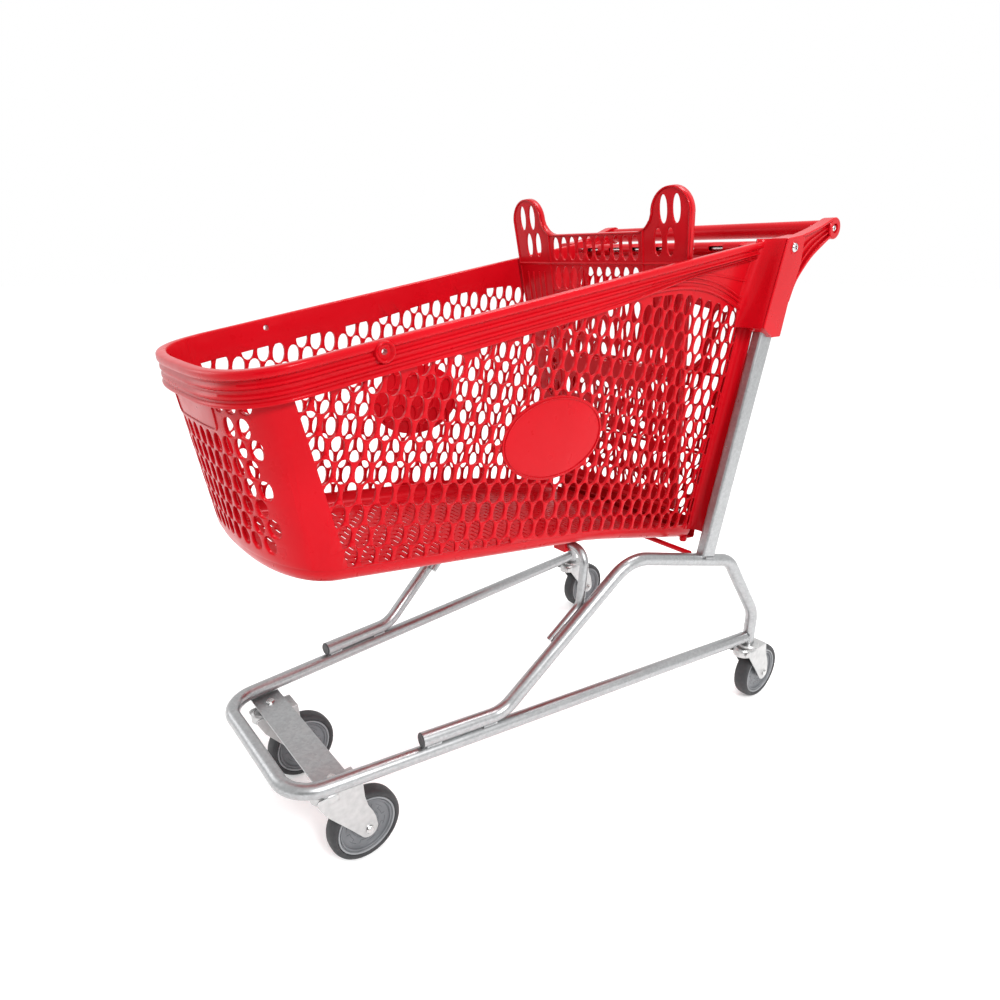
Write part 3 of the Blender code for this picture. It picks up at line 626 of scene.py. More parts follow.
def wall_ends(way):
    top = rim_point(way, RIM_WIDTH, 0.002)
    x, y = plan_point(way, 0.0, FLOOR_REAR_Y, NOSE_FLOOR, NOSE_POWER_FLOOR)
    sink = RIM_WIDTH + DRAFT * (rim_z(y) - floor_z(y))
    x, y = plan_point(way, sink, FLOOR_REAR_Y, NOSE_FLOOR, NOSE_POWER_FLOOR)
    return top, Vector((x, y, floor_z(y) + WALL))


def edge_radius(way):
    return EDGE_R_SIDE + (EDGE_R_NOSE - EDGE_R_SIDE) * max(way - 1.0, 0.0)


def wall_point(way, down):
    top, low = wall_ends(way)
    return top.lerp(low, down)


def wall_frame(way, down):
    """A point on the left wall and its outward normal."""
    here = wall_point(way, down)
    step = 0.004
    along = wall_point(min(way + step, 2.0), down) - wall_point(way - step if way > step else 0.0, down)
    upright = wall_point(way, 0.0) - wall_point(way, 1.0)
    return here, upright.cross(along).normalized()


def wall_foot(way):
    """How far down the wall its lower edge starts to round."""
    top, low = wall_ends(way)
    return 1.0 - edge_radius(way) / (top - low).length


def wall_at(y, z):
    """The way and depth of the left wall's point at (y, z)."""
    low, high = 0.0, 1.9
    for _ in range(26):
        way = (low + high) / 2
        top, foot = wall_ends(way)
        down = (top.z - z) / (top.z - foot.z)
        if top.y + (foot.y - top.y) * down > y:
            low = way
        else:
            high = way
    return way, down


def side_place(y, z):
    return wall_frame(*wall_at(y, z))


def spaced(low, high, count):
    return [low + (high - low) * i / count for i in range(count + 1)]


def side_outline():
    ways = spaced(0.0, 1.0, 24) + spaced(1.02, CORNER_WAY, 8)
    top = [wall_point(w, 0.0) for w in ways]
    foot = [wall_point(w, wall_foot(w)) for w in ways]
    loop = [(p.y, p.z) for p in top] + [(p.y, p.z) for p in reversed(foot)]
    return wound(loop)


def hole_field(keep, pitch, row, half, turn, origin, power=HOLE_POWER, least=0.30):
    """Staggered holes inside a convex outline; those on its edge are cut off flat."""
    c, s = math.cos(turn), math.sin(turn)
    full = abs(area(oval((0.0, 0.0), half, power)))
    holes = []
    for j in range(-40, 41):
        for i in range(-40, 41):
            u, v = (i + 0.5 * (j % 2)) * pitch, j * row
            centre = (origin[0] + u * c - v * s, origin[1] + u * s + v * c)
            whole = oval(centre, half, power, turn)
            if not any(inside(p, keep) for p in whole):
                continue
            hole = clipped(whole, keep, centre)
            if len(hole) > 2 and area(hole) > full * least:
                holes.append(hole)
    return holes


def side_panels():
    keep = wound(HOLE_TOP + HOLE_FOOT)
    holes = hole_field(keep, HOLE_PITCH, HOLE_ROW, HOLE_HALF, HOLE_SLOPE, (-0.075, 0.675))
    holes.append(oval((BOSS[0], BOSS[1]), (BOSS_HOLE, BOSS_HOLE)))
    outline = side_outline()
    left = panel("basket_side_left", outline, holes, side_place, nodes=("basket",),
                 out=WALL_OUT, back=WALL_BACK)
    mesh = left.data.copy()
    mesh.transform(Matrix.Diagonal((-1.0, 1.0, 1.0, 1.0)))
    mesh.flip_normals()
    mesh.materials.clear()
    tidy_normals(piece("basket_side_right", mesh))


def nose_table():
    """Arc length round half the nose, from the corner to the middle line."""
    rows, total = [], 0.0
    last = None
    for way in spaced(CORNER_WAY, 2.0, 120):
        here = wall_point(way, 0.4)
        if last is not None:
            total += (here - last).length
        rows.append((total, way))
        last = here
    return rows


NOSE_ROWS = nose_table()
NOSE_HALF = NOSE_ROWS[-1][0]


def nose_way(along):
    """The way at a distance from the middle line."""
    left = NOSE_HALF - min(along, NOSE_HALF)
    for (a, wa), (b, wb) in zip(NOSE_ROWS, NOSE_ROWS[1:]):
        if left <= b:
            return wa + (wb - wa) * (left - a) / (b - a)
    return 2.0


def nose_place(u, v):
    """u runs round the nose from the middle line, v up from the lower edge."""
    way = nose_way(abs(u))
    spot, normal = wall_frame(way, wall_foot(way) * (1.0 - v / NOSE_HEIGHT))
    side = -1.0 if u < 0 else 1.0
    if abs(u) < 0.0005:
        normal.x = 0.0
        normal.normalize()
    return mirrored(spot, side), mirrored(normal, side)


def nose_holes():
    """Staggered rows; the upper ones leave room for the blank panel, with a short row beside it."""
    holes = []
    edge = NOSE_HALF - 0.030
    for j in range(8):
        v = NOSE_HOLE_FOOT + j * NOSE_HOLE_ROW
        if v > NOSE_ROWS_TO:
            continue
        for i in range(-8, 9):
            u = (i + 0.5 * (j % 2)) * NOSE_HOLE_PITCH
            if abs(u) < edge and not (v > BLANK_FROM and abs(u) < BLANK_HALF):
                holes.append(oval((u, v), (0.0100, 0.0150), HOLE_POWER))
    top = NOSE_HOLE_FOOT + 7 * NOSE_HOLE_ROW + 0.004
    for side in (-1, 1):
        for i in range(3):
            u = side * (0.0917 + i * NOSE_HOLE_PITCH * 0.94)
            if abs(u) < edge:
                holes.append(oval((u, top), (0.0098, 0.0135), HOLE_POWER))
    return holes


def nose_panel():
    outline = [(u, 0.0) for u in spaced(-NOSE_HALF, NOSE_HALF, 60)]
    outline += [(u, NOSE_HEIGHT) for u in spaced(NOSE_HALF, -NOSE_HALF, 60)]
    panel("basket_nose", outline, nose_holes(), nose_place, out=WALL_OUT, back=WALL_BACK, grid=0.008)
    bead = []
    for u, v in resampled(round_rect((-0.076, 0.197), (0.076, 0.238), 0.010, 6), 0.006):
        spot, normal = nose_place(u, v)
        bead.append(spot + normal * (WALL_OUT + 0.0002))
    line("nose_blank_bead", bead, 0.0016, cyclic=True, sides=4)


def sheet_strip(name, rows, thickness, body=FRAME, slot=RED, offset=-1.0):
    """A smooth sheet through rows of points."""
    width = len(rows[0])
    verts = [p for row in rows for p in row]
    faces = []
    for i in range(len(rows) - 1):
        for j in range(width - 1):
            a = i * width + j
            faces.append((a, a + 1, a + width + 1, a + width))
    obj = piece(name, mesh_data(name, verts, faces), body, slot)
    shell = obj.modifiers.new("Sheet", "SOLIDIFY")
    shell.thickness = thickness
    shell.offset = offset
    shell.use_even_offset = True
    return tidy_normals(obj)


def all_ways():
    """Ways round the whole basket, from the left rear to the right rear."""
    half = spaced(0.0, 1.0, 16) + spaced(1.0, 2.0, 40)[1:]
    return [(w, 1) for w in half] + [(w, -1) for w in reversed(half[:-1])]


def fillet_end(way):
    """Where the rounded lower edge runs out on the floor."""
    _, low = wall_ends(way)
    y_mid = low.y if way <= 1.0 else SIDE_FRONT_Y - 0.010 * (way - 1.0)
    middle = Vector((0.0, y_mid, floor_z(y_mid) + WALL))
    span = (middle - low).length
    return low.lerp(middle, min(edge_radius(way), span * 0.85) / span)


def curve_row(a, b, c, count=8):
    """A bend from a to c, pulled to b."""
    return [a * (1 - t) ** 2 + b * 2 * t * (1 - t) + c * t * t for t in spaced(0.0, 1.0, count)]


def lower_edge():
    rows = []
    for way, side in all_ways():
        _, low = wall_ends(way)
        foot = wall_foot(way)
        row = [wall_point(way, foot - 0.004)] + curve_row(wall_point(way, foot), low, fillet_end(way))
        rows.append([mirrored(p, side) for p in row])
    sheet_strip("basket_lower_edge", rows, WALL)


def floor_place(x, y):
    fall = FLOOR_FALL_REAR if y > FLOOR_KINK[0] else FLOOR_FALL_FRONT
    return Vector((x, y, floor_z(y) + WALL)), Vector((0.0, -fall, 1.0)).normalized()


def floor_slits(loop):
    slits = []
    wide, tall = SLIT_HALF
    for j in range(-34, 21):
        y = j * SLIT_ROW + 0.004
        if abs(y - FLOOR_KINK[0]) < 0.008 or y > 0.285:
            continue
        for i in range(-6, 7):
            x = (i + 0.5 * (j % 2)) * SLIT_PITCH
            slit = round_rect((x - wide, y - tall), (x + wide, y + tall), 0.0016, 2)
            if all(inside(p, loop) for p in slit) and gap_to((x, y), loop) > 0.020:
                slits.append(slit)
    return slits


def floor_panel():
    right = [fillet_end(w) for w, side in all_ways() if side > 0]
    loop = wound([(p.x, p.y) for p in right] + [(-p.x, p.y) for p in reversed(right[:-1])])
    sheet = panel("basket_floor", loop, floor_slits(loop), floor_place, out=0.0, back=WALL, grid=0.02,
                  ring=0.0007)
    sheet.data.materials[0] = FLOOR_RED
    floor_rear_lip()
    gate_sill()


def floor_rear_lip():
    rows = []
    for x in spaced(-0.178, 0.178, 12):
        base = floor_place(x, 0.2985)[0]
        rows.append([base + Vector(p) for p in ((0, -0.004, 0.0005), (0, 0, 0.002), (0, 0.001, 0.0125))])
    sheet_strip("floor_rear_lip", rows, THIN, offset=0.0)


def gate_sill():
    """The ledge behind the floor, turned up below the gate."""
    rows = []
    for x in spaced(-0.196, 0.196, 12):
        edge = Vector((x, 0.2990, floor_z(0.2990) + 0.0012))
        corner = Vector((x, 0.3290, edge.z - 0.0050))
        rows.append([edge, edge.lerp(corner, 0.9), corner + Vector((0, 0, 0.003)),
                     corner + Vector((0, 0.002, 0.028))])
    sheet_strip("gate_sill", rows, THIN, offset=0.0)


def ring_faces(count, rows):
    faces = []
    for i in range(rows - 1):
        for j in range(count):
            a, b = i * count + j, i * count + (j + 1) % count
            faces.append((a, b, b + count, a + count))
    faces.append(tuple(range(count - 1, -1, -1)))
    faces.append(tuple(range((rows - 1) * count, rows * count)))
    return faces


def ease(t):
    """A smooth 0 to 1 step."""
    return t * t * (3 - 2 * t)


def rim_share(y):
    """How much of the rim's depth below its lip is left; the rest runs into the rear arch."""
    t = max(0.0, min(1.0, (y - RIM_FADE[0]) / (RIM_FADE[1] - RIM_FADE[0])))
    return 1.0 - (1.0 - RIM_REAR_SHARE) * ease(t)


def basket_rim():
    ways = all_ways()
    verts = []
    for way, side in ways:
        share = rim_share(rim_point(way, 0.0, 0.0).y)
        for inset, drop in RIM_PROFILE:
            low = max(drop - RIM_LIP, 0.0)
            verts.append(mirrored(rim_point(way, inset, drop - low * (1.0 - share)), side))
    obj = piece("basket_rim", mesh_data("basket_rim", verts, ring_faces(len(RIM_PROFILE), len(ways))))
    for side in (1, -1):
        spot, normal = side_place(*BOSS)
        bore(obj, BOSS_HOLE, mirrored(spot, side), mirrored(normal, side))
    crease(obj, 50.0)


def bore(obj, radius, centre, axis):
    """A round hole right through a piece."""
    turn = Vector(axis).to_track_quat("Z", "Y").to_matrix().to_4x4()
    shape = bmesh.new()
    bmesh.ops.create_cone(shape, cap_ends=True, segments=32, radius1=radius, radius2=radius, depth=0.060,
                          matrix=Matrix.Translation(centre) @ turn)
    mesh = bpy.data.meshes.new("bore")
    shape.to_mesh(mesh)
    shape.free()
    drill = linked("bore", mesh)
    cut = obj.modifiers.new("Bore", "BOOLEAN")
    cut.solver = "EXACT"
    cut.object = drill
    graph = bpy.context.evaluated_depsgraph_get()
    made = bpy.data.meshes.new_from_object(obj.evaluated_get(graph))
    obj.modifiers.remove(cut)
    obj.data = made
    bpy.data.objects.remove(drill)


def on_wall(y, z, out, side=1):
    spot, normal = side_place(y, z)
    return mirrored(spot + normal * out, side)


def wall_plate(name, outline, side, **sizes):
    """A solid panel that follows the side wall."""

    def place(y, z):
        spot, normal = side_place(y, z)
        return mirrored(spot, side), mirrored(normal, side)

    made = panel(name, outline, [], place, **sizes)
    if side < 0:
        made.data.flip_normals()


def badge(word, side):
    """A blank oval plate with a thin raised ring."""
    y0, z0, a, b = BADGE
    outline = oval((y0, z0), (a, b), steps=64)
    wall_plate("badge_" + word, outline, side, out=0.0078, back=-0.0022, grid=0.03, ring=0.0016)
    ring = [on_wall(y, z, 0.0076, side) for y, z in oval((y0, z0), (a - 0.004, b - 0.004), steps=64)]
    line("badge_ring_" + word, ring, 0.0010, cyclic=True, sides=3)


def smooth_line(points, count):
    """A Catmull-Rom line through flat points."""
    made = []
    ends = [points[0]] + points + [points[-1]]
    for a, b, c, d in zip(ends, ends[1:], ends[2:], ends[3:]):
        for i in range(count):
            t = i / count
            made.append(tuple(0.5 * (2 * q + (r - p) * t + (2 * p - 5 * q + 4 * r - s) * t * t
                                     + (3 * q - p - 3 * r + s) * t ** 3)
                              for p, q, r, s in zip(a, b, c, d)))
    made.append(points[-1])
    return made


def rear_arch(word, side):
    """The solid spandrel above the wall's holes, with its curved ribs."""
    arch = smooth_line(ARCH, 5)
    top = [(y, rim_z(y) - 0.020 - 0.022 * rim_share(y)) for y, _ in reversed(arch)]
    wall_plate("arch_plate_" + word, wound(arch + top), side, out=0.0068, back=-0.0024, grid=0.02,
               ring=0.0012)
    ribs = ((0.002, 0, 0.0066, 0.0032), (0.0125, 8, 0.0070, 0.0020), (0.0195, 14, 0.0070, 0.0020))
    for i, (lift, start, out, radius) in enumerate(ribs):
        path = [on_wall(y, z + lift, out, side) for y, z in arch[start:]]
        line("arch_rib_%d_%s" % (i, word), path, radius, sides=4)
    middle = smooth_line([(0.215, 0.919), (0.27, 0.914), (0.33, 0.906), (0.381, 0.899)], 5)
    path = [on_wall(y, z, 0.0070, side) for y, z in middle]
    line("arch_rib_middle_" + word, path, 0.0018, sides=4)


def rear_flange(word, side):
    """The wall's rear edge turned out to the post."""
    rows = []
    for down in spaced(0.14, wall_foot(0.0) - 0.004, 24):
        edge, normal = wall_frame(0.0, down)
        reach = POST_INNER_X + POST_SPREAD * (edge.z - 0.43)
        reach -= 0.0004 * max(0.0, 30.0 - (wall_foot(0.0) - down) * 1000.0)
        start = edge + Vector((0.0, -0.014, 0.0)) + normal * 0.0052
        bend = edge + Vector((0.0, -0.001, 0.0)) + normal * 0.0060
        end = Vector((reach, edge.y - 0.002, edge.z))
        rows.append([mirrored(p, side) for p in curve_row(start, bend, end)])
    sheet_strip("rear_flange_" + word, rows, 0.0025, offset=side)


def bracket_hollow(word, side):
    """The hollow in front of the bracket, between the wall and the sleeve."""
    rows = []
    for z in spaced(0.824, 0.9745, 16):
        front = 0.345 + (z - 0.826) * 0.285
        deep = 0.008 + 0.016 * ease(min(1.0, (z - 0.824) / 0.060))
        start, normal = side_place(front - deep, z)
        bend, _ = side_place(front + 0.002, z)
        end = Vector((BRACKET_OUT - 0.003, front, z))
        row = curve_row(start + normal * 0.005, bend + normal * 0.005, end)
        rows.append([mirrored(p, side) for p in row])
    sheet_strip("bracket_hollow_" + word, rows, 0.0025, offset=side)


def wall_trim(word, side):
    """The rear edge's bead and foot, and the ring round the rim's hole."""
    for i, (way, radius, out) in enumerate(((0.006, 0.0036, 0.0040), (0.030, 0.0016, 0.0054))):
        path = []
        for down in spaced(0.10 if i else 0.02, wall_foot(way), 14):
            spot, normal = wall_frame(way, down)
            path.append(mirrored(spot + normal * out, side))
        line("rear_bead_%d_%s" % (i, word), path, radius, sides=4)
    _, low = wall_ends(0.0)
    foot = [(0.0, 0.004), (0.006, 0.004), (0.0075, 0.0025), (0.0075, -0.005), (0.006, -0.0075),
            (0.0, -0.0085)]
    turned("basket_foot_" + word, foot, mirrored(low + Vector((-0.007, -0.002, -0.001)), side), (0, 0, 1))
    spot, normal = side_place(*BOSS)
    ring = [(0.0108, 0.0165), (0.0118, 0.0172), (0.0132, 0.0166), (0.0146, 0.0140), (0.0148, 0.004),
            (0.0040, 0.004), (0.0040, 0.0125), (0.0080, 0.0128), (0.0092, 0.0140)]
    turned("rim_boss_" + word, ring[::-1], mirrored(spot, side), mirrored(normal, side),
           closed=True)


# ---------------------------------------------------------------- turned and flat pieces

def turned(name, profile, centre, axis, body=FRAME, slot=RED, nodes=(), count=48, closed=False):
    """A turned piece; its profile runs down its outer side as (radius, height)."""
    up = Vector(axis).normalized()
    first = up.orthogonal().normalized()
    second = up.cross(first)
    verts, rings = [], []
    for radius, height in profile:
        spots = 1 if radius == 0.0 else count
        rings.append(list(range(len(verts), len(verts) + spots)))
        for i in range(spots):
            angle = 2 * math.pi * i / count
            verts.append(Vector(centre) + up * height
                         + (first * math.cos(angle) + second * math.sin(angle)) * radius)
    faces = []
    pairs = list(zip(rings, rings[1:])) + ([(rings[-1], rings[0])] if closed else [])
    for a, b in pairs:
        for i in range(count):
            j = (i + 1) % count
            if len(a) == 1:
                faces.append((a[0], b[i], b[j]))
            elif len(b) == 1:
                faces.append((a[i], b[0], a[j]))
            else:
                faces.append((a[i], b[i], b[j], a[j]))
    obj = piece(name, mesh_data(name, verts, faces), body, slot, nodes)
    crease(obj, 35.0)
    return tidy_normals(obj)


def rounded(obj, width, segments, degrees):
    """Round the edges that bend by more than an angle."""
    edge = obj.modifiers.new("Edges", "BEVEL")
    edge.width = width
    edge.segments = segments
    edge.limit_method = "ANGLE"
    edge.angle_limit = math.radians(degrees)


def plate(name, outline, low, high, body=FRAME, slot=RED, nodes=(), edge=0.0012, lift=None):
    """A flat outline, thick from low to high along X, with rounded edges."""
    outline = wound(outline)
    count = len(outline)
    verts = [Vector((x, u, v)) for x in (low, high) for u, v in outline]
    faces = [tuple(range(count - 1, -1, -1)), tuple(range(count, 2 * count))]
    faces += [(i, (i + 1) % count, count + (i + 1) % count, count + i) for i in range(count)]
    if lift is not None:
        verts = [lift @ v for v in verts]
    obj = piece(name, mesh_data(name, verts, faces), body, slot, nodes)
    rounded(obj, edge, 3, 40)
    return tidy_normals(obj)


def band(points, thick):
    """The outline of a strip of even thickness along a flat line."""
    left, right = [], []
    for i, (x, y) in enumerate(points):
        (ax, ay), (bx, by) = points[max(i - 1, 0)], points[min(i + 1, len(points) - 1)]
        size = math.hypot(bx - ax, by - ay)
        nx, ny = -(by - ay) / size * thick / 2, (bx - ax) / size * thick / 2
        left.append((x + nx, y + ny))
        right.append((x - nx, y - ny))
    return left + right[::-1]


# ---------------------------------------------------------------- brackets and handle

def bracket(word, side):
    """The sleeve over the post, and the ribbed arm to the handle."""
    sleeve = [(0.345, 0.826), (0.3767, 0.8075), (0.403, 0.8075), (0.4175, 0.872), (0.4300, 0.905),
              (0.4400, 0.9300), (0.4425, 0.9830), (0.3875, 0.9750)]
    web = smooth_line([(0.4175, 0.872), (0.4335, 0.9073), (0.4693, 0.9425), (0.5056, 0.965),
                       (0.534, 0.980)], 4)
    web += arc(HANDLE, CAP_R - 0.002, -60, 105, 10) + [(0.490, 0.9965), (0.4346, 0.981)]
    low_edge = smooth_line([(0.4150, 0.868), (0.4250, 0.8925), (0.4375, 0.9120), (0.4713, 0.9440),
                            (0.5080, 0.9670), (0.5330, 0.9810)], 4)
    top_edge = smooth_line([(0.4330, 0.9790), (0.4900, 0.9945), (0.5360, 1.0115)], 4)
    middle = smooth_line([(0.4300, 0.9020), (0.4450, 0.9330), (0.4800, 0.9640), (0.5300, 0.9880)], 4)
    upper = smooth_line([(0.4400, 0.9500), (0.4700, 0.9720), (0.5300, 0.9960)], 4)
    parts = (("sleeve", sleeve, BRACKET_IN, BRACKET_OUT, 0.0022), ("web", web, 0.2655, 0.2765, 0.0012),
             ("low", band(low_edge, 0.0050), BRACKET_ARM, BRACKET_OUT, 0.0016),
             ("top", band(top_edge, 0.0045), BRACKET_ARM, BRACKET_OUT, 0.0016),
             ("middle", band(middle, 0.0032), 0.2640, 0.2815, 0.0010),
             ("upper", band(upper, 0.0028), 0.2640, 0.2805, 0.0010))
    for part, outline, near, far, edge in parts:
        low, high = sorted((side * near, side * far))
        nodes = ("shoulder_bracket_" + word,) if part == "sleeve" else ()
        plate("bracket_%s_%s" % (part, word), outline, low, high, nodes=nodes, edge=edge)
    handle_cap(word, side)


def handle_cap(word, side):
    """The round end of the handle on the bracket, and the ring round the hinge screw."""
    cap = [(0.0, BRACKET_OUT - 0.0042), (0.0078, BRACKET_OUT - 0.0042), (0.0086, BRACKET_OUT - 0.0006),
           (0.0094, BRACKET_OUT), (CAP_R - 0.0016, BRACKET_OUT), (CAP_R, BRACKET_OUT - 0.0016),
           (CAP_R, BRACKET_ARM), (0.0, BRACKET_ARM)]
    turned("handle_cap_" + word, cap, (0.0, *HANDLE), (side, 0, 0))
    ring = [(0.0095, BRACKET_OUT - 0.0005), (0.0102, BRACKET_OUT + 0.0006),
            (0.0120, BRACKET_OUT + 0.0006), (0.0128, BRACKET_OUT - 0.0008),
            (0.0095, BRACKET_OUT - 0.0008)]
    turned("screw_ring_" + word, ring, (0.0, *GATE_HINGE), (side, 0, 0), closed=True)


def button_screw(name, node, side, centre, seat, head, tall):
    """A button-head screw with a socket."""
    profile = [(0.0, seat - 0.0010), (head * 0.32, seat - 0.0004), (head * 0.36, seat + tall * 0.85),
               (head * 0.44, seat + tall), (head * 0.66, seat + tall * 0.92),
               (head * 0.88, seat + tall * 0.60), (head * 0.98, seat + tall * 0.20), (head, seat),
               (0.0, seat - 0.0011)]
    turned(name, profile, (0.0, *centre), (side, 0, 0), slot="bright_steel", nodes=(node,), count=36)


def handle_bar():
    """The handle's sleeve, with a shallow groove near each end."""
    half = BRACKET_ARM - FIT
    r = HANDLE_R
    groove = r - 0.0006
    end = [(0.0, 0.0), (r - 0.001, 0.0), (r, 0.001), (r, 0.016), (groove, 0.0166), (groove, 0.0180),
           (r, 0.0186)]
    profile = [(radius, half - h) for radius, h in end]
    profile += [(radius, h - half) for radius, h in reversed(end)]
    turned("handle_grip", profile, (0.0, *HANDLE), (1, 0, 0), nodes=("handle_sleeve",))


# ---------------------------------------------------------------- gate and seat

def hung_place(hinge, lean, front):
    """A flat panel's own frame: u along X, v up the panel from its hinge."""
    up = Vector((0.0, -math.sin(lean), math.cos(lean)))
    out = Vector((0.0, math.cos(lean), math.sin(lean)))

    def place(u, v):
        return Vector((u, hinge[0], hinge[1])) + up * v + out * front, out

    return place


def gate_half(v):
    return GATE_TOP_HALF + (GATE_TOP_HALF - GATE_LOW_HALF) * v / GATE_LENGTH


def gate():
    place = hung_place(GATE_HINGE, -GATE_LEAN, 0.0)
    top = gate_half(-0.010)
    outline = [(-top, -0.010), (-GATE_LOW_HALF, -GATE_LENGTH), (GATE_LOW_HALF, -GATE_LENGTH),
               (top, -0.010)]
    keep = [(-0.208, -0.030), (-0.178, -0.520), (0.178, -0.520), (0.208, -0.030)]
    legs = []
    for side in (-1, 1):
        low, high = sorted((side * 0.030, side * 0.140))
        legs.append(round_rect((low, -0.225), (high, -0.095), 0.018, 6))
    holes = [h for h in hole_field(keep, HOLE_PITCH, HOLE_ROW, HOLE_HALF, 0.0, (0.0, -0.250))
             if min(gap_to(p, leg) if not inside(p, leg) else 0.0 for p in h for leg in legs) > 0.006]
    panel("gate_panel", outline, holes + legs, place, "gate", nodes=("gate",), out=0.002, back=0.002,
          grid=0.05)
    for side, leg in zip((-1, 1), legs):
        path = [place(u, v)[0] for u, v in grown(leg, 0.0035)]
        line("leg_hole_bead_%d" % (side + 1), path, 0.0032, "gate", cyclic=True, sides=4)
    for side in (-1, 1):
        path = [place(side * (gate_half(v) - 0.003), v)[0] for v in (-0.012, -0.540)]
        line("gate_edge_%d" % (side + 1), path, 0.0036, "gate", sides=4)
    for i, v in enumerate((-0.026, -0.236, -0.390, -0.542)):
        wide = gate_half(v) - 0.003
        line("gate_rib_%d" % i, [place(-wide, v)[0], place(wide, v)[0]], 0.0032, "gate", sides=4)
    knuckle_tube()


def knuckle_tube():
    """The slotted tube at the gate's top, round its hinge rod."""
    r = 0.0108
    lap = math.pi * r

    def place(u, v):
        angle = v / r
        out = Vector((0.0, -math.cos(angle), math.sin(angle)))
        return Vector((u, *GATE_HINGE)) + out * r, out

    outline = [(-0.2255, -lap / 2), (0.2255, -lap / 2), (0.2255, lap * 1.5), (-0.2255, lap * 1.5)]
    outline = resampled(outline, 0.004)
    slots = []
    for i in range(-3, 4):
        for v in (0.0, lap):
            x = i * 0.065
            slots.append(round_rect((x - 0.016, v - 0.0045), (x + 0.016, v + 0.0045), 0.003, 3))
    panel("gate_knuckle", outline, slots, place, "gate", out=0.0012, back=0.0012, grid=0.003,
          ring=0.0005)


def seat_outline():
    points = [(0.176, 0.0), (0.196, 0.220), (0.214, 0.440), (0.222, 0.545)]
    points += arc((0.181, 0.550), 0.0415, 0, 180, 18)
    points += [(0.136, 0.540)]
    points += arc((0.105, 0.556), 0.034, -30, -90, 6)
    return points + [(-x, z) for x, z in reversed(points)]


def seat_holes():
    holes = []
    for side in (-1, 1):
        for x, v in ((0.166, 0.5560), (0.1935, 0.5560), (0.154, 0.5040), (0.180, 0.5040)):
            holes.append(oval((side * x, v), (0.0082, 0.0228), 2.1, steps=20))
        for v in (0.3050, 0.2550, 0.2050, 0.1550, 0.1050, 0.0550):
            for x in (0.1355, 0.1591):
                holes.append(oval((side * x, v), (0.0082, 0.0205), 2.3))
    rows = [(0.4960, 0.0215), (0.4410, 0.0215), (0.3900, 0.0195), (0.3450, 0.0195), (0.3000, 0.0195),
            (0.2200, 0.0195), (0.1750, 0.0195), (0.1300, 0.0195), (0.0850, 0.0195), (0.0400, 0.0175)]
    for v, tall in rows:
        for i in range(-5, 5):
            holes.append(oval(((i + 0.5) * 0.0226, v), (0.0084, tall), 2.3))
    return holes


def seat_back():
    place = hung_place(SEAT_HINGE, SEAT_LEAN, 0.0)
    outline = seat_outline()
    panel("seat_panel", resampled(outline, 0.03), seat_holes(), place, "seat_back",
          nodes=("seat_back",), out=0.002, back=0.002, grid=0.05)
    rows = []
    for u, v in resampled(outline, 0.012) + [outline[0]]:
        spot, out = place(u, v)
        rows.append([spot + out * 0.0105, spot + out * 0.004, spot - out * 0.0030])
    sheet_strip("seat_lip", rows, 0.0032, "seat_back", offset=1.0)
    seat_ribs(place)
    profile = [(0.0, 0.165), (0.005, 0.165), (KNUCKLE_R, 0.164), (KNUCKLE_R, -0.164), (0.005, -0.165),
               (0.0, -0.165)]
    turned("seat_knuckle", profile, (0.0, *SEAT_HINGE), (1, 0, 0), "seat_back")
    seat_lugs(place)


def seat_ribs(place):
    bars = [((-0.2165, 0.4690), (0.2165, 0.4690)), ((-0.115, 0.4175), (0.115, 0.4175))]
    for side in (-1, 1):
        bars.append(((side * 0.1175, 0.030), (side * 0.1205, 0.5240)))
        for foot, top in ((0.140, 0.142), (0.155, 0.157), (0.172, 0.176), (0.187, 0.192)):
            bars.append(((side * foot, 0.345), (side * top, 0.452)))
    for i, bar in enumerate(bars):
        ends = [place(*p)[0] - place(*p)[1] * 0.0016 for p in bar]
        line("seat_rib_%02d" % i, ends, 0.0022, "seat_back", sides=4)


def seat_lugs(place):
    """The two lugs that carry the seat plate's rod."""
    rod_y, rod_z = SEAT_PLATE_AT
    spot, out = place(0.0, rod_z)
    centre = spot + out * rod_y
    for side in (-1, 1):
        low, high = sorted((side * 0.1485, side * 0.1565))
        lug = oval((centre.y, centre.z), (0.0065, 0.0065), steps=20)
        plate("seat_lug_%d" % (side + 1), lug, low, high, "seat_back", edge=0.0008)
        web = [(centre.y, centre.z + 0.0055), (centre.y, centre.z - 0.0055),
               (centre.y - 0.011, centre.z - 0.008), (centre.y - 0.011, centre.z + 0.006)]
        plate("seat_lug_web_%d" % (side + 1), web, low, high, "seat_back", edge=0.0008)


def seat_plate_hinge():
    y, z = SEAT_PLATE_AT
    c, s = math.cos(SEAT_LEAN), math.sin(SEAT_LEAN)
    return SEAT_HINGE[0] + y * c - z * s, SEAT_HINGE[1] + y * s + z * c


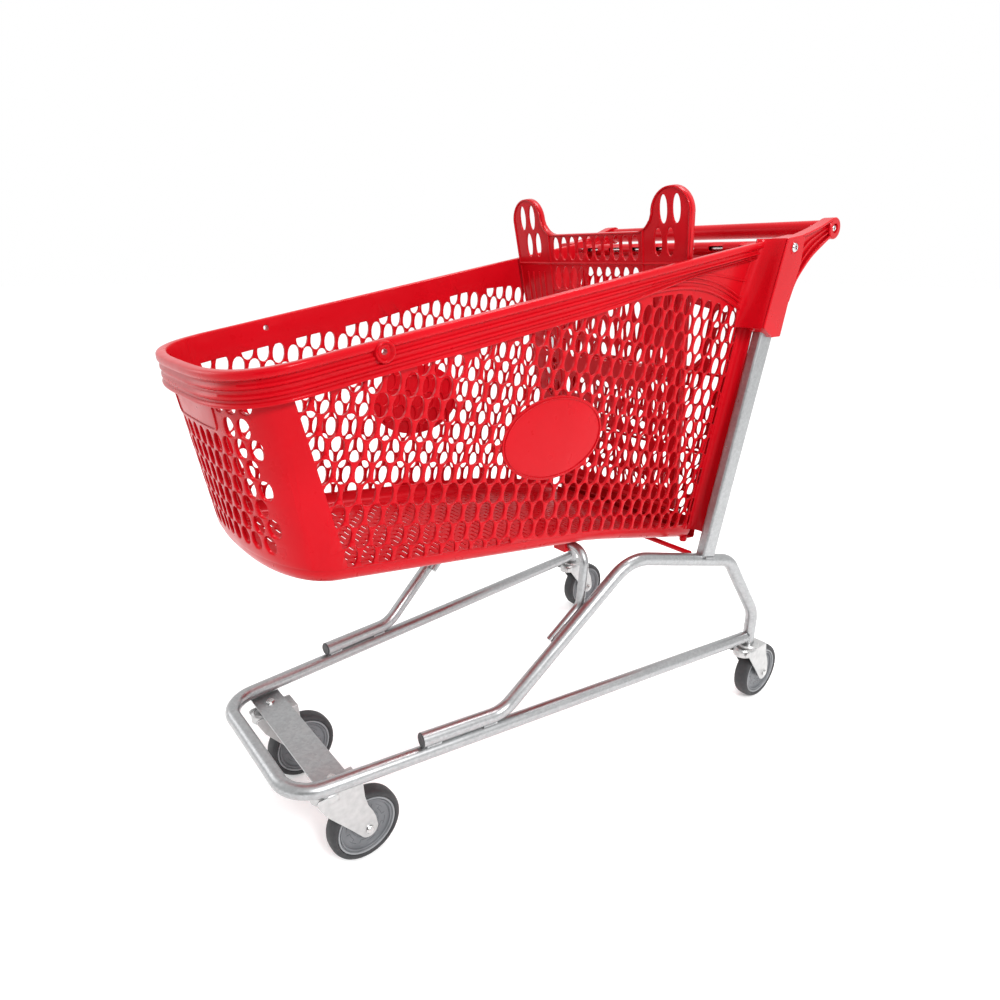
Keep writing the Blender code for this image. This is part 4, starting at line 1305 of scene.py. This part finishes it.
def seat_plate():
    hinge_y, hinge_z = seat_plate_hinge()

    def place(u, v):
        return Vector((u, hinge_y + v, hinge_z)), Vector((0.0, 0.0, 1.0))

    outline = round_rect((-SEAT_PLATE_HALF, 0.0030), (SEAT_PLATE_HALF, SEAT_PLATE_LENGTH), 0.006, 4)
    holes = [oval(((i + 0.5 * (j % 2)) * 0.025, 0.030 + j * 0.025), (0.0085, 0.0105), 2.3)
             for j in range(3) for i in range(-5, 6) if abs((i + 0.5 * (j % 2)) * 0.025) < 0.130]
    panel("seat_plate_panel", outline, holes, place, "seat_plate", nodes=("seat_plate",), out=0.002,
          back=0.002, grid=0.05)
    profile = [(0.0, SEAT_PLATE_HALF), (0.005, SEAT_PLATE_HALF), (KNUCKLE_R, SEAT_PLATE_HALF - 0.001),
               (KNUCKLE_R, 0.001 - SEAT_PLATE_HALF), (0.005, -SEAT_PLATE_HALF), (0.0, -SEAT_PLATE_HALF)]
    turned("seat_plate_knuckle", profile, (0.0, hinge_y, hinge_z), (1, 0, 0), "seat_plate")


# ---------------------------------------------------------------- frame tubes

def rail_point(y):
    return Vector((RAIL_X + RAIL_SPREAD * y, y, RAIL_Z + RAIL_FALL * y))


def base_frame():
    rear = rail_point(REAR_CASTOR[1] - TUBE_R - 3 * FIT)
    corner = rail_point(NOSE_BAR_Y)
    corners = [rear, corner, mirrored(corner, -1), mirrored(rear, -1)]
    line("base_tube", rounded_path(corners, [BASE_BEND_R] * 2, 20), TUBE_R, slot=TUBE,
         nodes=("base_frame",), sides=10)


def hoop_corners():
    corners = []
    for y in (HOOP_START_Y, HOOP_BEND_Y):
        corners.append(rail_point(y) + Vector((0.0, 0.0, 2 * TUBE_R + FIT)))
    for y, z in (HOOP_PEAK, HOOP_REAR, HOOP_KNEE):
        corners.append(Vector((rail_point(y).x, y, z)))
    corners.append(Vector((*REAR_CASTOR, REAR_MOUNT_Z)))
    return corners


def hoop(word, side):
    corners = [mirrored(c, side) for c in hoop_corners()]
    line("hoop_tube_" + word, rounded_path(corners, HOOP_BEND_R), TUBE_R, slot=TUBE,
         nodes=("hoop_" + word,), sides=10)


def front_rod():
    inset = TUBE_R + ROD_R + FIT
    corners = []
    for y in (ROD_FOOT_Y, ROD_BEND_Y):
        point = hoop_corners()[1].lerp(hoop_corners()[2], rod_share(y))
        corners.append(Vector((point.x - inset, y, point.z)))
    corners.append(Vector((0.192, ROD_Y, ROD_TOP_Z)))
    path = corners + [mirrored(c, -1) for c in reversed(corners)]
    line("floor_rod", rounded_path(path, (0.030, 0.028, 0.028, 0.030), 10), ROD_R, slot=TUBE,
         nodes=("floor_rod_front",), sides=8)


def plug(word, side):
    start, second = hoop_corners()[:2]
    profile = [(0.0, 0.0016), (TUBE_R * 0.55, 0.0020), (TUBE_R - 0.0015, 0.0022),
               (TUBE_R - 0.0003, 0.0012), (TUBE_R, FIT), (0.0, FIT)]
    turned("tube_plug_" + word, profile, mirrored(start, side), mirrored(start - second, side),
           slot="plug_plastic", nodes=("hoop_plug_" + word,), count=40)


def weld(name, start, end):
    """A weld bead: a short row of overlapping ripples."""
    count = 19
    path = [Vector(start).lerp(Vector(end), i / (count - 1)) for i in range(count)]
    bead = line(name, path, 1.0, slot=TUBE, sides=4)
    for i, spot in enumerate(bead.data.splines[0].points):
        spot.radius = 0.0022 if i % 2 else 0.0029


def rod_share(y):
    """How far up a hoop's rise the front rod meets it."""
    return (y - HOOP_BEND_Y) / (HOOP_PEAK[0] - HOOP_BEND_Y)


def welds(word, side):
    """Beads where the hoop lies on the base tube, at the base tube's end and at the front rod."""
    gap = TUBE_R + FIT
    for i, span in enumerate(((-0.316, -0.290), (-0.212, -0.186))):
        for sign in (-1, 1):
            lift = Vector((sign * 0.0052, 0.0, gap))
            ends = [mirrored(rail_point(y) + lift, side) for y in span]
            weld("weld_rail_%d_%d_%s" % (i, sign + 1, word), *ends)
    rear = rail_point(REAR_CASTOR[1] - TUBE_R)
    for sign in (-1, 1):
        ends = [mirrored(rear + Vector((sign * 0.010, -0.001, z)), side) for z in (0.007, -0.007)]
        weld("weld_rear_%d_%s" % (sign + 1, word), *ends)
    _, low, high = hoop_corners()[:3]
    point = low.lerp(high, rod_share(ROD_FOOT_Y + 0.012))
    ahead = (high - low).normalized()
    for sign in (-1, 1):
        spot = point + Vector((-TUBE_R, -ahead.z * sign * 0.0045, ahead.y * sign * 0.0045))
        ends = [mirrored(spot + ahead * along, side) for along in (-0.010, 0.022)]
        weld("weld_rod_%d_%s" % (sign + 1, word), *ends)


def post(word, side):
    """The rectangular tube up to the bracket, with rounded corners and a weld round its foot."""
    z = HOOP_PEAK[1] + TOP_BAR_FALL * (POST_FOOT_Y - HOOP_PEAK[0])
    foot = Vector((rail_point(POST_FOOT_Y).x * side, POST_FOOT_Y, z))
    up = Vector((POST_SPREAD * side, POST_LEAN, 1.0)).normalized()
    across = Vector((0.0, 1.0, 0.0)).cross(up).normalized()
    depth = up.cross(across)
    ring = []
    for i, (sx, sy) in enumerate(((1, 1), (-1, 1), (-1, -1), (1, -1))):
        centre = (sx * (POST_WIDTH / 2 - POST_CORNER), sy * (POST_DEPTH / 2 - POST_CORNER))
        ring += arc(centre, POST_CORNER, i * 90, i * 90 + 90, 8)
    low, high = TUBE_R - 0.004, (POST_TOP_Z - z) / up.z
    count = len(ring)
    verts = [foot + across * x + depth * y + up * h for h in (low, high) for x, y in ring]
    faces = [(i, (i + 1) % count, count + (i + 1) % count, count + i) for i in range(count)]
    faces += [tuple(range(count - 1, -1, -1)), tuple(range(count, 2 * count))]
    name = "post_tube_" + word
    obj = piece(name, mesh_data(name, verts, faces), slot=TUBE, nodes=("post_" + word,))
    crease(obj, 50.0)
    tidy_normals(obj)
    slope = Vector((0.0, 1.0, TOP_BAR_FALL)).normalized()
    for sign in (-1, 1):
        base = foot + Vector((sign * (POST_WIDTH / 2 + 0.0005), 0.0, TUBE_R - 0.0045))
        weld("weld_post_%d_%s" % (sign + 1, word), base - slope * 0.015, base + slope * 0.015)


# ---------------------------------------------------------------- castors

def tyre_profile():
    half = [(0.0515, 0.0122), (0.0524, 0.0140), (0.0540, 0.0151), (0.0562, 0.0155), (0.0585, 0.0147),
            (0.0605, 0.0126), (0.0618, 0.0094), (0.0624, 0.0055), (0.0625, 0.0010)]
    return half + [(r, -h) for r, h in reversed(half)]


def core_profile():
    half = [(0.0042, 0.0174), (0.0105, 0.0174), (0.0120, 0.0165), (0.0125, 0.0100), (0.0140, 0.0085),
            (0.0230, 0.0080), (0.0236, 0.0086), (0.0244, 0.0086), (0.0250, 0.0080), (0.0415, 0.0080),
            (0.0428, 0.0090), (0.0436, 0.0116), (0.0446, 0.0122), (0.0462, 0.0122), (0.0468, 0.0104),
            (0.0476, 0.0104), (0.0515, 0.0112)]
    return half + [(r, -h) for r, h in reversed(half)]


def rim_ring(name, centre, body, sign):
    """The paler raised ring between the core and the tyre."""
    profile = [(0.0480, 0.0112), (0.0486, 0.0136), (0.0494, 0.0141), (0.0508, 0.0141), (0.0514, 0.0134),
               (0.0514, 0.0112)]
    ring = turned(name, profile, centre, (sign, 0, 0), body, "wheel_core", count=72, closed=True)
    ring.data.materials[0] = RING_GREY


def arc_block(verts, faces, centre, sign, span):
    """Add one raised mark, from r0 to r1 and from angle a0 to a1, to a wheel face."""
    r0, r1, a0, a1 = span
    first = len(verts)
    count = 8
    section = ((r0, 0.0075), (r0, 0.0083), (r1, 0.0083), (r1, 0.0075))
    for i in range(count + 1):
        angle = math.radians(a0 + (a1 - a0) * i / count)
        for r, h in section:
            verts.append(centre + Vector((sign * h, r * math.cos(angle), r * math.sin(angle))))
    made = []
    for i in range(count):
        for j in range(4):
            a, b = first + i * 4 + j, first + i * 4 + (j + 1) % 4
            made.append((a, b, b + 4, a + 4))
    made.append((first + 3, first + 2, first + 1, first))
    made.append(tuple(first + count * 4 + j for j in range(4)))
    faces.extend(made if sign < 0 else [face[::-1] for face in made])


def hub_marks(name, centre, body):
    """Generic raised arcs and ticks on both faces of the core."""
    verts, faces = [], []
    marks = ((0.0290, 0.0296, 8, 40), (0.0350, 0.0355, 30, 56), (0.0175, 0.0225, -1, 1),
             (0.0296, 0.0350, 7, 8), (0.0300, 0.0330, 39, 40))
    for sign in (-1, 1):
        for turn in range(0, 360, 60):
            for r0, r1, a0, a1 in marks:
                arc_block(verts, faces, Vector(centre), sign, (r0, r1, turn + a0, turn + a1))
    piece(name, mesh_data(name, verts, faces, False), body, "plug_plastic")


def fork_outline(mount_z):
    top = mount_z - 0.010
    boss = arc((TRAIL, WHEEL_R), 0.016, -142, 0, 18)
    points = [(-0.030, top - 0.001), (-0.0345, top - 0.004), (-0.0335, top - 0.010), (-0.022, 0.1275),
              (-0.010, 0.1120), (0.004, 0.094), (0.020, 0.0735)] + boss
    points += [(0.0615, 0.080), (0.0570, 0.0940), (0.050, 0.108), (0.0450, 0.128), (0.0430, top - 0.001)]
    return points


def castor(prefix, side, place, mount_z):
    spot = (side * place[0], place[1])
    hub = (spot[0], spot[1] + TRAIL, WHEEL_R)
    castor_wheel(prefix, hub)
    fork_cheeks(prefix, spot, hub, mount_z)
    fork_crown(prefix, spot, mount_z - 0.010)
    cup = [(0.0, -0.0004), (0.0195, -0.0004), (0.0225, -0.0012), (0.0238, -0.0030), (0.0238, -0.0048),
           (0.0222, -0.0056), (0.0222, -0.0064), (0.0236, -0.0072), (0.0236, -0.0088),
           (0.0215, -0.0097), (0.0, -0.0097)]
    turned(prefix + "_ball_race", cup, (*spot, mount_z), (0, 0, 1), slot=ZINC,
           nodes=(prefix + "_race",))


def castor_wheel(prefix, hub):
    wheel = prefix + "_wheel"
    turned(prefix + "_tyre_ring", tyre_profile(), hub, (1, 0, 0), wheel, "tyre_rubber",
           (prefix + "_tyre",), 96, True)
    turned(prefix + "_core_disc", core_profile(), hub, (1, 0, 0), wheel, "wheel_core",
           (prefix + "_wheel_core",), 72, True)
    hub_marks(prefix + "_hub_marks", hub, wheel)
    rim_ring(prefix + "_ring_inner", hub, wheel, -1)
    rim_ring(prefix + "_ring_outer", hub, wheel, 1)


def fork_cheeks(prefix, spot, hub, mount_z):
    x, y = spot
    body = prefix + "_fork"
    outline = [(y + u, v) for u, v in fork_outline(mount_z)]
    boss = [(0.0, 0.0216), (0.0085, 0.0216), (0.0105, 0.0210), (0.0112, 0.0205), (0.0, 0.0205)]
    for i, (low, high) in enumerate(((-0.0210, -0.0185), (0.0185, 0.0210))):
        nodes = (body,) if i else ()
        plate("%s_cheek_%d" % (prefix, i), outline, x + low, x + high, body, ZINC, nodes, 0.0008)
        sign = 1 if i else -1
        turned("%s_axle_boss_%d" % (prefix, i), boss, hub, (sign, 0, 0), body, ZINC, count=36)


def fork_crown(prefix, spot, top):
    """The fork's top plate, and its rounded front edge turned down."""
    x, y = spot[0], spot[1] - 0.004
    body = prefix + "_fork"
    rows = []
    for angle in spaced(-100.0, 100.0, 24):
        a = math.radians(angle)
        wide, deep = 0.0209 * math.sin(a), 0.030 * math.cos(a)
        edge = Vector((x + wide, y - deep, top))
        rim = Vector((x + wide * 0.82, y - deep * 0.86, top))
        drop = 0.015 if abs(angle) < 60 else 0.013
        rows.append([rim - Vector((0, 0, 0.0002)), edge - Vector((0, 0, 0.0035)),
                     edge - Vector((0, 0, drop))])
    sheet_strip(prefix + "_crown_apron", rows, THIN, body, ZINC, 1.0)
    half = 0.0205
    crown = []
    for a in spaced(-90.0, 90.0, 20):
        crown.append((x + half * math.sin(math.radians(a)), y - 0.029 * math.cos(math.radians(a))))
    crown += [(x + half, y + 0.047), (x - half, y + 0.047)]
    flip = Matrix(((0, 1, 0, 0), (0, 0, 1, 0), (1, 0, 0, 0), (0, 0, 0, 1)))
    plate(prefix + "_crown", crown, top - 0.0025, top - 0.0001, body, ZINC, edge=0.0008, lift=flip)


def softened(name, node, slot, width):
    """A CAD pressing or clip made again, with its edges rounded."""
    mesh = frame["nodes"][node].data.copy()
    mesh.materials.clear()
    rounded(piece(name, mesh, slot=slot, nodes=(node,)), width, 2, 50)


# ---------------------------------------------------------------- stage

def aim(obj, spot, height):
    """Put an object at a spot, facing the trolley at a height."""
    obj.location = spot
    obj.rotation_euler = (Vector((0, 0, height)) - Vector(spot)).to_track_quat("-Z", "Y").to_euler()


def staged_card(name, half, made):
    """A flat rectangle of the stage, which isn't part of the trolley."""
    x, y = half
    mesh = bpy.data.meshes.new(name)
    mesh.from_pydata([(-x, -y, 0), (x, -y, 0), (x, y, 0), (-x, y, 0)], [], [(0, 1, 2, 3)])
    mesh.materials.append(made)
    card = linked(name, mesh)
    return card


def floor():
    """A pale floor that glows a little, so that it meets the white background unseen."""
    made, _ = principled("pale_floor", 0.0, Roughness=0.9, Specular_IOR_Level=0.1,
                         Base_Color=(0.88, 0.88, 0.88, 1.0), Emission_Color=(1.0, 1.0, 1.0, 1.0),
                         Emission_Strength=0.22)
    staged_card("floor", (30.0, 30.0), made)


def lights():
    world = bpy.data.worlds.new("studio")
    world.use_nodes = True
    sky = world.node_tree.nodes["Background"]
    sky.inputs["Color"].default_value = (1.0, 1.0, 1.0, 1.0)
    sky.inputs["Strength"].default_value = 1.0
    bpy.context.scene.world = world
    for name, spot, size, power in LAMPS:
        light = bpy.data.lights.new(name, "AREA")
        light.shape = "SQUARE"
        light.size = size
        light.energy = power
        aim(linked(name, light), spot, 0.5)


def dark_card():
    """A dark card behind the camera, which gives the tubes and lips their dark lines."""
    made, _ = principled("card_black", 0.0, Roughness=0.9, Base_Color=(0.02, 0.02, 0.02, 1.0))
    card = staged_card("dark_card", (1.1, 0.6), made)
    aim(card, (2.1, -1.9, 0.95), 0.6)
    card.visible_camera = False


def camera():
    data = bpy.data.cameras.new("view")
    data.sensor_width = 36.0
    data.lens = LENS
    data.shift_x, data.shift_y = SHIFT
    cam = linked("view", data)
    ahead = Vector((-math.sin(YAW) * math.cos(PITCH), math.cos(YAW) * math.cos(PITCH), -math.sin(PITCH)))
    right = ahead.cross(Vector((0, 0, 1))).normalized()
    up = right.cross(ahead)
    c, s = math.cos(ROLL), math.sin(ROLL)
    axes = Matrix((right * c + up * s, up * c - right * s, -ahead)).transposed().to_4x4()
    cam.matrix_world = Matrix.Translation(EYE) @ axes
    bpy.context.scene.camera = cam


def one_side(word, side):
    hoop(word, side)
    plug(word, side)
    welds(word, side)
    post(word, side)
    bracket(word, side)
    badge(word, side)
    rear_arch(word, side)
    rear_flange(word, side)
    bracket_hollow(word, side)
    wall_trim(word, side)
    button_screw("hinge_button_" + word, "hinge_screw_" + word, side, GATE_HINGE, 0.2853, 0.0080, 0.0034)
    button_screw("handle_button_" + word, "handle_screw_" + word, side, HANDLE, 0.2811, 0.0060, 0.0030)
    softened("clip_" + word, "floor_clip_" + word, RED, 0.0012)
    castor("front_" + word, side, FRONT_CASTOR, FRONT_MOUNT_Z)
    castor("rear_" + word, side, REAR_CASTOR, REAR_MOUNT_Z)


def main():
    bpy.context.scene.view_settings.view_transform = "Standard"
    floor()
    lights()
    dark_card()
    camera()
    finish_nodes()
    side_panels()
    nose_panel()
    lower_edge()
    floor_panel()
    basket_rim()
    base_frame()
    front_rod()
    handle_bar()
    gate()
    seat_back()
    seat_plate()
    one_side("left", 1)
    one_side("right", -1)
    softened("castor_plate", "front_castor_plate", TUBE, 0.0008)


main()
